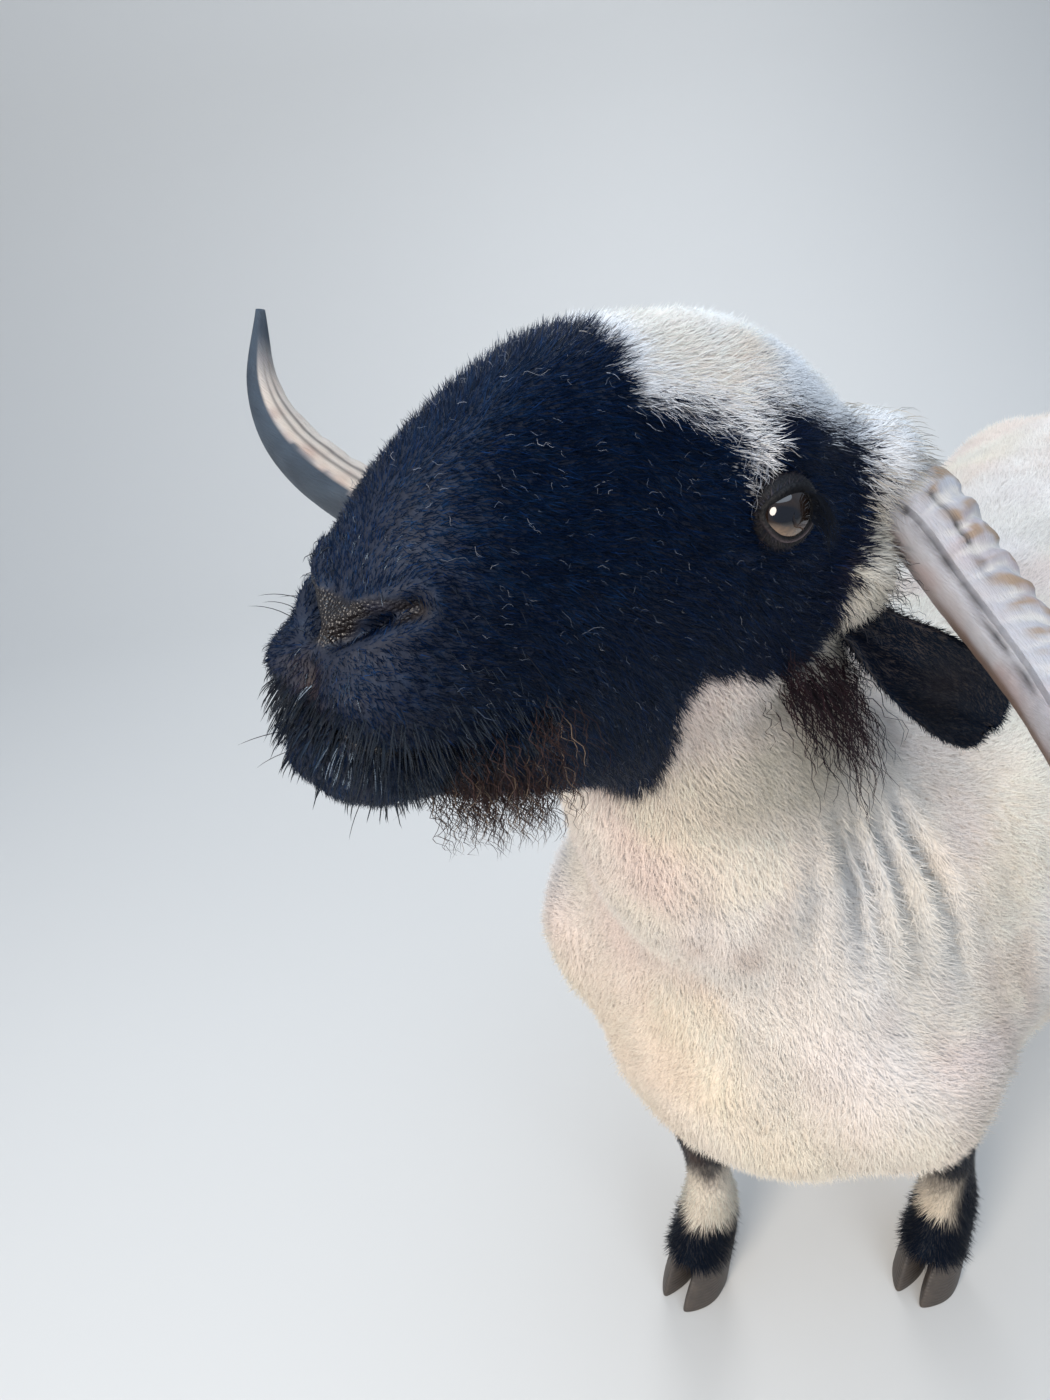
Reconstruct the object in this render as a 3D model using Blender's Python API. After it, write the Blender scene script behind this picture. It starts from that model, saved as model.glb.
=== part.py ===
"""A Valais blacknose sheep, freshly shorn, standing square with its nose lifted, as a life-size model.

Metres, +Z up. The animal faces -Y and its left side is +X. Every solid reaches the tips of the short coat.
Sizes inside the head are in the head's own frame: x to its left, y backwards, z to the crown, from the nape.
"""

import math
import random

import bmesh
import bpy
import numpy as np
from mathutils import Matrix, Vector
from mathutils.bvhtree import BVHTree

# Driving sizes of the whole animal
WITHERS_HEIGHT = 0.722
BELLY_HEIGHT = 0.405
CHEST_HALF_WIDTH = 0.185
BARREL_HALF_WIDTH = 0.218
BODY_FRONT = -0.185
BODY_BACK = 0.715
FORE_STANCE = 0.091
HIND_STANCE = 0.112
FORE_STRIDE = 0.077
HIND_STRIDE = 0.035

# The carriage of the head
NAPE = Vector((0.042, -0.107, 0.880))
HEAD_TURN = math.radians(3.0)
HEAD_LIFT = math.radians(19.0)
HEAD_TILT = math.radians(3.0)
HEAD_LENGTH = 0.300

# How finely the flesh is fused and how far apart two nodes stay
FUSE_STEP = 0.006
FLESH_TRIANGLES = 5700
BODY_EASE = 160
GAP = 0.0003

COAT_CREAM = (0.80, 0.72, 0.60)
COAT_BLACK = (0.018, 0.019, 0.026)
HORN_TAN = (0.62, 0.50, 0.38)
HOOF_DARK = (0.06, 0.05, 0.045)
EYE_BROWN = (0.05, 0.025, 0.015)


def clear_scene():
    for obj in list(bpy.data.objects):
        bpy.data.objects.remove(obj)


def material(name, colour, roughness):
    made = bpy.data.materials.get(name)
    if made is None:
        made = bpy.data.materials.new(name)
        made.use_nodes = True
        shader = made.node_tree.nodes["Principled BSDF"]
        shader.inputs["Base Color"].default_value = (*colour, 1.0)
        shader.inputs["Roughness"].default_value = roughness
    return made


def new_object(name, bm):
    """An object from a bmesh, with its faces turned outwards."""
    bmesh.ops.recalc_face_normals(bm, faces=bm.faces)
    mesh = bpy.data.meshes.new(name)
    bm.to_mesh(mesh)
    bm.free()
    obj = bpy.data.objects.new(name, mesh)
    bpy.context.scene.collection.objects.link(obj)
    return obj


def triangulated(obj):
    bm = bmesh.new()
    bm.from_mesh(obj.data)
    bmesh.ops.triangulate(bm, faces=bm.faces)
    bm.to_mesh(obj.data)
    bm.free()
    return obj


def settle(obj):
    """Applies every modifier, so that the mesh itself has the shape."""
    graph = bpy.context.evaluated_depsgraph_get()
    mesh = bpy.data.meshes.new_from_object(obj.evaluated_get(graph))
    old = obj.data
    obj.modifiers.clear()
    obj.data = mesh
    bpy.data.meshes.remove(old)
    return obj


def duplicate(obj, name):
    copy = obj.copy()
    copy.data = obj.data.copy()
    copy.name = name
    bpy.context.scene.collection.objects.link(copy)
    return copy


def discard(*objects):
    for obj in objects:
        bpy.data.objects.remove(obj)


def loft(name, rings):
    """A closed skin through rings of equal count, each end closed by a fan."""
    bm = bmesh.new()
    loops = [[bm.verts.new(p) for p in ring] for ring in rings]
    count = len(rings[0])
    for lower, upper in zip(loops, loops[1:]):
        for i in range(count):
            j = (i + 1) % count
            bm.faces.new((lower[i], lower[j], upper[j], upper[i]))
    for loop, ring in ((loops[0], rings[0]), (loops[-1], rings[-1])):
        middle = bm.verts.new(sum((Vector(p) for p in ring), Vector()) / count)
        for i in range(count):
            bm.faces.new((loop[i], loop[(i + 1) % count], middle))
    return new_object(name, bm)


def eased(stations, steps):
    """Rows of numbers read along a smooth curve through the stations, steps to each span."""
    rows = [np.array(row, float) for row in stations]
    padded = [2 * rows[0] - rows[1], *rows, 2 * rows[-1] - rows[-2]]
    found = []
    for a, b, c, d in zip(padded, padded[1:], padded[2:], padded[3:]):
        for k in range(steps):
            t = k / steps
            found.append(
                0.5
                * (2 * b + (c - a) * t + (2 * a - 5 * b + 4 * c - d) * t**2 + (3 * b - a - 3 * c + d) * t**3)
            )
    found.append(rows[-1])
    return found


def rounded_section(count, half_width, half_height, squareness=2.0):
    """Points of a superellipse in its own plane, from +x round by +y."""
    points = []
    for k in range(count):
        angle = 2 * math.pi * k / count
        c, s = math.cos(angle), math.sin(angle)
        points.append(
            (
                half_width * math.copysign(abs(c) ** (2 / squareness), c),
                half_height * math.copysign(abs(s) ** (2 / squareness), s),
            )
        )
    return points


def limb(name, stations, count=16, steps=4, squareness=2.0, across=Vector((1, 0, 0))):
    """A tapered limb through stations of (x, y, z, half width across, half depth)."""
    rows = eased(stations, steps)
    rings = []
    for i, row in enumerate(rows):
        before, after = rows[max(i - 1, 0)], rows[min(i + 1, len(rows) - 1)]
        along = Vector(after[:3] - before[:3]).normalized()
        side = (across - along * across.dot(along)).normalized()
        deep = along.cross(side)
        centre = Vector(row[:3])
        section = rounded_section(count, row[3], row[4], squareness)
        rings.append([centre + side * u + deep * v for u, v in section])
    return loft(name, rings)


def muscle(name, centre, radii, turn=(0, 0, 0)):
    """An egg-shaped mass that swells the body under the coat."""
    bm = bmesh.new()
    bmesh.ops.create_icosphere(bm, subdivisions=3, radius=1.0)
    placed = (
        Matrix.Translation(centre)
        @ Matrix.Rotation(turn[2], 4, "Z")
        @ Matrix.Rotation(turn[1], 4, "Y")
        @ Matrix.Rotation(turn[0], 4, "X")
        @ Matrix.Diagonal((*radii, 1.0))
    )
    bmesh.ops.transform(bm, matrix=placed, verts=bm.verts)
    return new_object(name, bm)


def boolean(obj, other, operation, solver="EXACT"):
    modifier = obj.modifiers.new(operation.lower(), "BOOLEAN")
    modifier.operation = operation
    modifier.object = other
    modifier.solver = solver
    return settle(obj)


def largest_body(obj):
    """Keeps only the largest closed surface of the mesh."""
    bm = bmesh.new()
    bm.from_mesh(obj.data)
    left, bodies = set(bm.verts), []
    while left:
        found, queue = set(), [left.pop()]
        while queue:
            vert = queue.pop()
            found.add(vert)
            for edge in vert.link_edges:
                other = edge.other_vert(vert)
                if other in left:
                    left.remove(other)
                    queue.append(other)
        bodies.append(found)
    bodies.sort(key=len)
    for scrap in bodies[:-1]:
        bmesh.ops.delete(bm, geom=list(scrap), context="VERTS")
    bm.to_mesh(obj.data)
    bm.free()
    return obj


def join_pieces(obj, pieces, solver="EXACT"):
    """One union of the object with closed pieces, which are then removed."""
    group = bpy.data.collections.new(obj.name + "_pieces")
    bpy.context.scene.collection.children.link(group)
    for piece in pieces:
        for old in list(piece.users_collection):
            old.objects.unlink(piece)
        group.objects.link(piece)
    modifier = obj.modifiers.new("join", "BOOLEAN")
    modifier.operation = "UNION"
    modifier.operand_type = "COLLECTION"
    modifier.collection = group
    modifier.solver = solver
    bpy.context.view_layer.update()
    settle(obj)
    discard(*pieces)
    bpy.data.collections.remove(group)
    return largest_body(obj)


def grown(obj, distance):
    """A copy of the object whose surface lies that much further out."""
    copy = duplicate(obj, obj.name + "_grown")
    bm = bmesh.new()
    bm.from_mesh(copy.data)
    bm.normal_update()
    for vert in bm.verts:
        vert.co += vert.normal * vert.calc_shell_factor() * distance
    bm.to_mesh(copy.data)
    bm.free()
    return copy


def seat(piece, carrier):
    """Cuts the piece back so that it meets its carrier face to face."""
    cutter = grown(carrier, GAP)
    boolean(piece, cutter, "DIFFERENCE", "MANIFOLD")
    discard(cutter)
    return largest_body(piece)


def part_by_plane(obj, name, point, normal):
    """Takes the side that the normal points to into a new object, and leaves a thin cut between."""
    taken = duplicate(obj, name)
    for piece, facing in ((taken, -1), (obj, 1)):
        bm = bmesh.new()
        bm.from_mesh(piece.data)
        cut = bmesh.ops.bisect_plane(
            bm,
            geom=bm.verts[:] + bm.edges[:] + bm.faces[:],
            plane_co=point - normal * facing * GAP / 2,
            plane_no=normal * facing,
            clear_outer=True,
        )
        edges = [e for e in cut["geom_cut"] if isinstance(e, bmesh.types.BMEdge)]
        bmesh.ops.holes_fill(bm, edges=edges)
        bmesh.ops.triangulate(bm, faces=bm.faces)
        bmesh.ops.recalc_face_normals(bm, faces=bm.faces)
        bm.to_mesh(piece.data)
        bm.free()
    return largest_body(taken)


def part_by_block(obj, name, centre, size):
    """Takes what lies inside a block into a new object, and leaves a thin cut between."""
    taken = duplicate(obj, name)
    for piece, operation, margin in ((taken, "INTERSECT", -GAP / 2), (obj, "DIFFERENCE", GAP / 2)):
        bm = bmesh.new()
        bmesh.ops.create_cube(bm, size=1.0)
        spread = Matrix.Diagonal((*(s + 2 * margin for s in size), 1.0))
        bmesh.ops.transform(bm, matrix=Matrix.Translation(centre) @ spread, verts=bm.verts)
        block = new_object("block", bm)
        boolean(piece, block, operation)
        discard(block)
    largest_body(obj)
    return largest_body(taken)


# The head: a long, deep, ram-nosed skull under a short plush coat

HEAD_FRAME = (
    Matrix.Translation(NAPE)
    @ Matrix.Rotation(-HEAD_TURN, 4, "Z")
    @ Matrix.Rotation(-HEAD_LIFT, 4, "X")
    @ Matrix.Rotation(HEAD_TILT, 4, "Y")
)

# forward of the nape, crown, chin, half width, height of the widest line, narrowing of bridge and of jaw
HEAD_STATIONS = (
    (-0.020, 0.035, -0.035, 0.034, 0.00, 0.05, 0.10),
    (0.000, 0.064, -0.064, 0.054, 0.00, 0.04, 0.12),
    (0.035, 0.093, -0.092, 0.064, 0.01, 0.06, 0.16),
    (0.075, 0.109, -0.112, 0.068, 0.02, 0.09, 0.22),
    (0.110, 0.115, -0.119, 0.068, 0.02, 0.14, 0.28),
    (0.150, 0.111, -0.118, 0.062, 0.01, 0.20, 0.32),
    (0.190, 0.105, -0.112, 0.056, 0.00, 0.25, 0.32),
    (0.225, 0.089, -0.103, 0.051, -0.01, 0.25, 0.28),
    (0.255, 0.065, -0.094, 0.047, -0.02, 0.22, 0.25),
    (0.275, 0.039, -0.087, 0.043, -0.03, 0.20, 0.25),
    (0.291, 0.004, -0.078, 0.036, -0.038, 0.20, 0.28),
    (HEAD_LENGTH, -0.018, -0.066, 0.020, -0.043, 0.20, 0.25),
)
EYE_CENTRE = Vector((0.0615, -0.108, 0.036))
EYE_RADIUS = 0.0150
EYE_OPENING = (0.0150, 0.0100)


def head_point(x, forward, height):
    return HEAD_FRAME @ Vector((x, -forward, height))


def head_ring(row, count=32):
    forward, crown, chin, half_width, level, bridge, jaw = row
    ring = []
    for u, v in rounded_section(count, 1.0, 1.0, 2.5):
        reach = crown - level if v > 0 else level - chin
        narrowing = (bridge if v > 0 else jaw) * abs(v) ** 1.6
        ring.append(head_point(u * half_width * (1 - narrowing), forward, level + v * reach))
    return ring


def head_flesh():
    """The pieces that the head is fused from, in the world's frame."""
    pieces = [loft("skull", [head_ring(row) for row in eased(HEAD_STATIONS, 4)])]
    swellings = (
        ("brow", (0.046, 0.098, 0.058), (0.022, 0.034, 0.020)),
        ("orbit", (0.050, 0.106, 0.036), (0.020, 0.030, 0.026)),
        ("cheek", (0.040, 0.075, -0.030), (0.026, 0.060, 0.055)),
        ("nostril_wing", (0.019, 0.277, -0.006), (0.016, 0.018, 0.013)),
        ("lip", (0.020, 0.275, -0.036), (0.026, 0.036, 0.018)),
        ("chin", (0.010, 0.270, -0.073), (0.024, 0.036, 0.018)),
        ("horn_seat", (0.040, 0.006, 0.049), (0.033, 0.036, 0.034)),
        ("ear_seat", (0.054, 0.024, 0.000), (0.026, 0.032, 0.030)),
    )
    for side in (1, -1):
        for name, (x, forward, height), radii in swellings:
            piece = muscle(name, (0, 0, 0), radii)
            piece.data.transform(HEAD_FRAME @ Matrix.Translation((side * x, -forward, height)))
            pieces.append(piece)
    return pieces


# The trunk, neck and legs

# distance behind the fore feet, top line, under line, half width, height of the widest line
TRUNK_STATIONS = (
    (BODY_FRONT, 0.590, 0.455, 0.065, 0.530),
    (-0.155, 0.645, 0.405, 0.140, 0.530),
    (-0.095, 0.680, BELLY_HEIGHT - 0.030, 0.182, 0.540),
    (0.000, 0.705, BELLY_HEIGHT - 0.025, CHEST_HALF_WIDTH, 0.560),
    (0.100, WITHERS_HEIGHT, BELLY_HEIGHT - 0.005, CHEST_HALF_WIDTH - 0.007, 0.570),
    (0.210, WITHERS_HEIGHT + 0.004, BELLY_HEIGHT + 0.005, 0.188, 0.570),
    (0.330, WITHERS_HEIGHT + 0.012, BELLY_HEIGHT + 0.005, BARREL_HALF_WIDTH - 0.010, 0.565),
    (0.450, WITHERS_HEIGHT + 0.020, BELLY_HEIGHT + 0.010, BARREL_HALF_WIDTH - 0.006, 0.570),
    (0.550, WITHERS_HEIGHT + 0.022, BELLY_HEIGHT + 0.040, 0.194, 0.585),
    (0.630, WITHERS_HEIGHT + 0.006, 0.475, 0.172, 0.600),
    (0.685, WITHERS_HEIGHT - 0.026, 0.515, 0.140, 0.605),
    (BODY_BACK, 0.655, 0.560, 0.085, 0.610),
)

# centre of the neck, half width, half depth, from the chest up to the throat
NECK_STATIONS = (
    (0.000, 0.040, 0.550, 0.145, 0.165),
    (0.003, -0.050, 0.632, 0.140, 0.146),
    (0.006, -0.112, 0.700, 0.122, 0.124),
    (0.011, -0.150, 0.768, 0.098, 0.104),
    (0.024, -0.168, 0.842, 0.076, 0.088),
)


TOP_NARROWING = 0.17
BELLY_NARROWING = 0.16


def trunk_ring(row, count=40):
    y, top, bottom, half_width, level = row
    ring = []
    for u, v in rounded_section(count, 1.0, 1.0, 2.05):
        reach = top - level if v > 0 else level - bottom
        narrowing = TOP_NARROWING * v**2 if v > 0 else BELLY_NARROWING * v**2
        ring.append(Vector((u * half_width * (1 - narrowing), y, level + v * reach)))
    return ring


def fore_leg(side):
    x, foot = side * FORE_STANCE, side * FORE_STRIDE
    return limb(
        "fore_leg",
        (
            (x * 0.95, 0.030, 0.560, 0.050, 0.085),
            (x * 1.05, 0.045 + foot * 0.2, 0.450, 0.048, 0.070),
            (x * 1.05, 0.035 + foot * 0.5, 0.345, 0.040, 0.047),
            (x, 0.012 + foot * 0.8, 0.262, 0.032, 0.034),
            (x, 0.004 + foot * 0.9, 0.225, 0.033, 0.034),
            (x, 0.008 + foot * 0.95, 0.188, 0.026, 0.027),
            (x, 0.012 + foot, 0.145, 0.024, 0.025),
            (x, 0.012 + foot, 0.105, 0.028, 0.030),
            (x, 0.004 + foot, 0.080, 0.030, 0.032),
            (x, -0.010 + foot, 0.056, 0.030, 0.032),
            (x, -0.018 + foot, 0.038, 0.031, 0.036),
        ),
    )


def hind_leg(side):
    x, foot = side * HIND_STANCE, side * HIND_STRIDE
    return limb(
        "hind_leg",
        (
            (x * 0.90, 0.560, 0.600, 0.070, 0.120),
            (x * 1.02, 0.550 + foot * 0.2, 0.500, 0.066, 0.110),
            (x * 1.10, 0.555 + foot * 0.4, 0.425, 0.052, 0.080),
            (x * 1.04, 0.605 + foot * 0.7, 0.350, 0.036, 0.048),
            (x, 0.650 + foot * 0.9, 0.292, 0.029, 0.038),
            (x, 0.655 + foot, 0.255, 0.027, 0.034),
            (x, 0.640 + foot, 0.205, 0.024, 0.027),
            (x, 0.628 + foot, 0.150, 0.023, 0.026),
            (x, 0.622 + foot, 0.105, 0.027, 0.031),
            (x, 0.612 + foot, 0.080, 0.029, 0.032),
            (x, 0.596 + foot, 0.056, 0.029, 0.032),
            (x, 0.588 + foot, 0.038, 0.030, 0.036),
        ),
    )


def body_flesh():
    """The pieces that the trunk, neck and legs are fused from."""
    pieces = [
        loft("trunk", [trunk_ring(row) for row in eased(TRUNK_STATIONS, 3)]),
        limb("neck", NECK_STATIONS, count=24),
        muscle("brisket", (0, -0.115, 0.442), (0.134, 0.092, 0.090)),
        muscle("crest", (0.006, 0.015, 0.690), (0.105, 0.190, 0.062), (-0.42, 0, 0)),
    ]
    for side in (1, -1):
        pieces += [
            muscle("shoulder", (side * 0.125, 0.030, 0.560), (0.075, 0.110, 0.150), (0.25, 0, 0)),
            muscle("point_of_shoulder", (side * 0.118 - 0.002, -0.098, 0.507), (0.081, 0.083, 0.101)),
            muscle("neck_bed", (side * 0.077, -0.060, 0.622), (0.092, 0.111, 0.100), (0.3, 0, 0)),
            muscle("haunch", (side * 0.105, 0.575, 0.570), (0.095, 0.120, 0.150), (-0.2, 0, 0)),
            fore_leg(side),
            hind_leg(side),
        ]
    return pieces


def fused_flesh():
    """Head, neck, trunk and legs as one smooth closed skin, thinned to few triangles."""
    pieces = head_flesh() + body_flesh()
    flesh = pieces[0]
    bm = bmesh.new()
    for piece in pieces:
        bm.from_mesh(piece.data)
    bm.to_mesh(flesh.data)
    bm.free()
    discard(*pieces[1:])
    flesh.name = "flesh"
    fuse = flesh.modifiers.new("fuse", "REMESH")
    fuse.mode = "VOXEL"
    fuse.voxel_size = FUSE_STEP
    ease = flesh.modifiers.new("ease", "SMOOTH")
    ease.factor = 0.5
    ease.iterations = 8
    settle(flesh)
    calm = flesh.vertex_groups.new(name="calm")
    for vert in flesh.data.vertices:
        rise = min(max((vert.co.z - 0.76) / 0.09, 0.0), 1.0)
        drop = min(max((vert.co.z - 0.34) / 0.06, 0.0), 1.0)
        forward = min(max((-0.02 - vert.co.y) / 0.06, 0.0), 1.0)
        calm.add([vert.index], drop * (1.0 - rise * forward), "REPLACE")
    body_ease = flesh.modifiers.new("body_ease", "SMOOTH")
    body_ease.factor = 0.5
    body_ease.iterations = BODY_EASE
    body_ease.vertex_group = calm.name
    return largest_body(settle(flesh))


# How readily each region gives up triangles, from 0 to 1
HEAD_GIVES = 0.50
LEG_GIVES = 0.72
BODY_GIVES = 0.82
HEAD_FADE = 0.10


def thin(flesh):
    """Thins the skin to few triangles, the head and legs far less than the rest."""
    share = flesh.vertex_groups.new(name="thinning")
    backwards = (HEAD_FRAME.to_3x3() @ Vector((0, 1, 0))).normalized()
    for vert in flesh.data.vertices:
        behind = min(max((vert.co - NAPE).dot(backwards) / HEAD_FADE, 0.0), 1.0)
        if vert.co.z < BELLY_HEIGHT - 0.02:
            weight = LEG_GIVES
        elif vert.co.z < WITHERS_HEIGHT - 0.02:
            weight = BODY_GIVES
        else:
            weight = HEAD_GIVES + (BODY_GIVES - HEAD_GIVES) * behind
        share.add([vert.index], weight, "REPLACE")
    thinning = flesh.modifiers.new("thin", "DECIMATE")
    thinning.ratio = FLESH_TRIANGLES / (2 * len(flesh.data.polygons))
    thinning.vertex_group = share.name
    settle(flesh)
    flesh.vertex_groups.clear()
    return flesh


# Eyes, lids, nostrils and mouth

LID_THICKNESS = 0.0042


def eye_ball(side, name, radius):
    bm = bmesh.new()
    bmesh.ops.create_icosphere(bm, subdivisions=3, radius=radius)
    centre = HEAD_FRAME @ Vector((side * EYE_CENTRE.x, EYE_CENTRE.y, EYE_CENTRE.z))
    bmesh.ops.transform(bm, matrix=Matrix.Translation(centre) @ HEAD_FRAME.to_3x3().to_4x4(), verts=bm.verts)
    return new_object(name, bm)


def lids(side, count=20):
    """A ring of lid round the eye, its upper half heavier and drawn further over the ball."""
    half_length, half_height = EYE_OPENING
    rows = []
    for k in range(count):
        angle = 2 * math.pi * k / count
        forward = half_length * math.cos(angle)
        height = half_height * math.sin(angle)
        upper = max(math.sin(angle), 0.0)
        out = math.sqrt(max((EYE_RADIUS + 0.0012) ** 2 - forward**2 - height**2, 0.0))
        rows.append((side * (EYE_CENTRE.x + out), -EYE_CENTRE.y + forward, EYE_CENTRE.z + height, upper))
    bm = bmesh.new()
    loops = []
    middle = Vector((side * EYE_CENTRE.x, EYE_CENTRE.y, EYE_CENTRE.z))
    for x, forward, height, upper in rows:
        edge = Vector((x, -forward, height))
        outward = (edge - middle).normalized()
        away = (edge - middle) - Vector((side, 0, 0)) * (edge - middle).dot(Vector((side, 0, 0)))
        away.normalize()
        thick = LID_THICKNESS * (1.0 + 0.3 * upper)
        corners = (
            edge - away * 0.0005 - outward * 0.002,
            edge - away * 0.0005 + outward * thick * 0.55,
            edge + away * 0.0040 + outward * thick * 0.30,
            edge + away * 0.0100 - outward * 0.0105,
        )
        loops.append([bm.verts.new(HEAD_FRAME @ corner) for corner in corners])
    for a, b in zip(loops, loops[1:] + loops[:1]):
        for i in range(4):
            j = (i + 1) % 4
            bm.faces.new((a[i], a[j], b[j], b[i]))
    bmesh.ops.triangulate(bm, faces=bm.faces)
    return new_object("lids", bm)


# x, forward, height, half thickness and half depth of the slit, from beside the middle out to the wing
NOSTRIL_SLIT = (
    (0.0065, 0.294, -0.020, 0.0022, 0.0050),
    (0.0110, 0.294, -0.010, 0.0034, 0.0070),
    (0.0190, 0.288, -0.003, 0.0044, 0.0080),
    (0.0270, 0.280, 0.001, 0.0036, 0.0070),
    (0.0340, 0.270, 0.001, 0.0016, 0.0045),
)

# x, forward and height of the mouth line, from the middle of the lips back to the corner
MOUTH_LINE = (
    (0.000, 0.300, -0.058),
    (0.014, 0.296, -0.060),
    (0.028, 0.280, -0.064),
    (0.038, 0.255, -0.067),
    (0.044, 0.230, -0.064),
    (0.047, 0.214, -0.058),
)
MOUTH_GROOVE = 0.0013
MOUTH_DEPTH = 0.0055


def nostril(side):
    rows = []
    for x, forward, height, thick, deep in NOSTRIL_SLIT:
        point = HEAD_FRAME @ Vector((side * x, -forward, height))
        rows.append((*point, thick, deep))
    up = (HEAD_FRAME.to_3x3() @ Vector((0, 0, 1))).normalized()
    return limb("nostril", rows, count=8, steps=3, across=up)


def mouth(tree):
    """A thin wedge that follows the line of the lips round the muzzle."""
    half = eased(MOUTH_LINE, 3)
    path = [np.array((-x, forward, height)) for x, forward, height in half[:0:-1]] + half
    up = (HEAD_FRAME.to_3x3() @ Vector((0, 0, 1))).normalized()
    rings = []
    for i, (x, forward, height) in enumerate(path):
        axis_point = HEAD_FRAME @ Vector((0, -(forward - 0.06), height))
        point = HEAD_FRAME @ Vector((x, -forward, height))
        out = (point - axis_point).normalized()
        hit = tree.ray_cast(axis_point + out * 0.3, -out)[0]
        ends = min(i, len(path) - 1 - i)
        depth = MOUTH_DEPTH * min(1.0, 0.35 + 0.3 * ends)
        inner, outer = hit - out * depth, hit + out * 0.012
        rings.append(
            [
                inner + up * MOUTH_GROOVE * 0.4,
                inner - up * MOUTH_GROOVE * 0.4,
                outer - up * MOUTH_GROOVE * 2.2,
                outer + up * MOUTH_GROOVE * 2.2,
            ]
        )
    return triangulated(loft("mouth", rings))


def surface_of(obj):
    bm = bmesh.new()
    bm.from_mesh(obj.data)
    tree = BVHTree.FromBMesh(bm)
    bm.free()
    return tree


# Locks that the shears left: under the ears, below the corners of the mouth and round the lower lip

# forward and height where the row starts and ends, number to a side, then length, half width,
# half thickness, lean outwards and lean backwards of each lock
LOCK_FIELDS = (
    ("cheek", (0.022, -0.046), (0.066, -0.080), 9, 0.050, 0.0095, 0.0040, 0.45, 0.25),
    ("jaw", (0.180, -0.084), (0.245, -0.084), 7, 0.026, 0.0075, 0.0034, 0.30, 0.15),
    ("lip", (0.215, -0.074), (0.292, -0.078), 7, 0.019, 0.0070, 0.0028, 0.75, -0.35),
)
LOCK_SINK = 0.006
LOCK_STEP = 0.016
UNDER_JAW = 0.030
LIP_DEPTH = 0.045


def lock(root, heading, sag, length, half_width, half_thick, out, sections=5):
    """A flat tapered lock of four sides that leaves along its heading and bends down."""
    bm = bmesh.new()
    loops = []
    point = root - heading * LOCK_SINK
    for k in range(sections):
        share = k / (sections - 1)
        along = (heading * (1.0 - share) + sag * share + heading * 0.1).normalized()
        if k:
            point = point + along * (length + LOCK_SINK) / (sections - 1)
        wide = along.cross(out).normalized()
        flat = wide.cross(along).normalized()
        taper = max(1.0 - share**1.5, 0.10)
        loops.append(
            [
                bm.verts.new(point + wide * half_width * taper),
                bm.verts.new(point + flat * half_thick * taper),
                bm.verts.new(point - wide * half_width * taper),
                bm.verts.new(point - flat * half_thick * taper),
            ]
        )
    for a, b in zip(loops, loops[1:]):
        for i in range(4):
            j = (i + 1) % 4
            bm.faces.new((a[i], a[j], b[j], b[i]))
    bm.faces.new(loops[0])
    bm.faces.new(loops[-1])
    bmesh.ops.triangulate(bm, faces=bm.faces)
    return new_object("lock", bm)


def locks(head, neck):
    """Both sides' locks, spread over their fields with a seeded unevenness and cut clear of the neck."""
    tree = surface_of(head)
    clearance = grown(neck, GAP)
    draw = random.Random(7)
    down = Vector((0, 0, -1))
    back = HEAD_FRAME.to_3x3() @ Vector((0, 1, 0))
    made = []
    for name, start, end, count, length, half_width, half_thick, lean_out, lean_back in LOCK_FIELDS:
        under = 0.0 if name == "cheek" else UNDER_JAW
        for side in (1, -1):
            for k in range(count):
                share = (k + 0.5) / count
                forward = start[0] + (end[0] - start[0]) * share + draw.uniform(-0.003, 0.003)
                height = start[1] + (end[1] - start[1]) * share + draw.uniform(-0.006, 0.006)
                if name == "cheek":
                    height -= LOCK_STEP * (k % 2)
                outside = HEAD_FRAME @ Vector((side * 0.12, -forward, height - under))
                inside = HEAD_FRAME @ Vector((0, -forward + (LIP_DEPTH if name == "lip" else 0.0), height))
                out = (outside - inside).normalized()
                hit = tree.ray_cast(outside, -out)[0]
                heading = out * lean_out + down * 0.6 + back * lean_back * draw.uniform(0.6, 1.4)
                heading.normalize()
                size = length * draw.uniform(0.75, 1.15)
                if hit is None:
                    continue
                strand = lock(hit, heading, down, size, half_width, half_thick, out)
                if name == "cheek":
                    boolean(strand, clearance, "DIFFERENCE")
                    largest_body(strand)
                made.append(strand)
    discard(clearance)
    return made


def finish_head(head, neck):
    tree = surface_of(head)
    join_pieces(head, [lids(side) for side in (1, -1)] + locks(head, neck), "MANIFOLD")
    pockets = [eye_ball(side, "pocket", EYE_RADIUS + GAP) for side in (1, -1)]
    for cutter in (mouth(tree), nostril(1), nostril(-1), *pockets):
        boolean(head, cutter, "DIFFERENCE", "MANIFOLD")
        discard(cutter)
    return largest_body(head)


# Ears: furry leaves that hang back behind the horns

EAR_HALF_WIDTH = 0.027
EAR_THICKNESS = 0.0065

# x, forward and height of the ear's midline, share of the full width
EAR_STATIONS = (
    (0.046, 0.014, -0.016, 0.42),
    (0.066, 0.002, -0.031, 0.62),
    (0.083, -0.014, -0.044, 0.90),
    (0.095, -0.033, -0.056, 1.00),
    (0.103, -0.051, -0.067, 0.92),
    (0.108, -0.064, -0.077, 0.66),
    (0.110, -0.070, -0.082, 0.32),
)
# The head is turned to the right, so the right ear is pushed out and up by the neck
EAR_PUSHED = Vector((0.020, 0.008, 0.016))
EAR_FACING = Vector((0.62, -0.62, 0.20))


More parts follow.
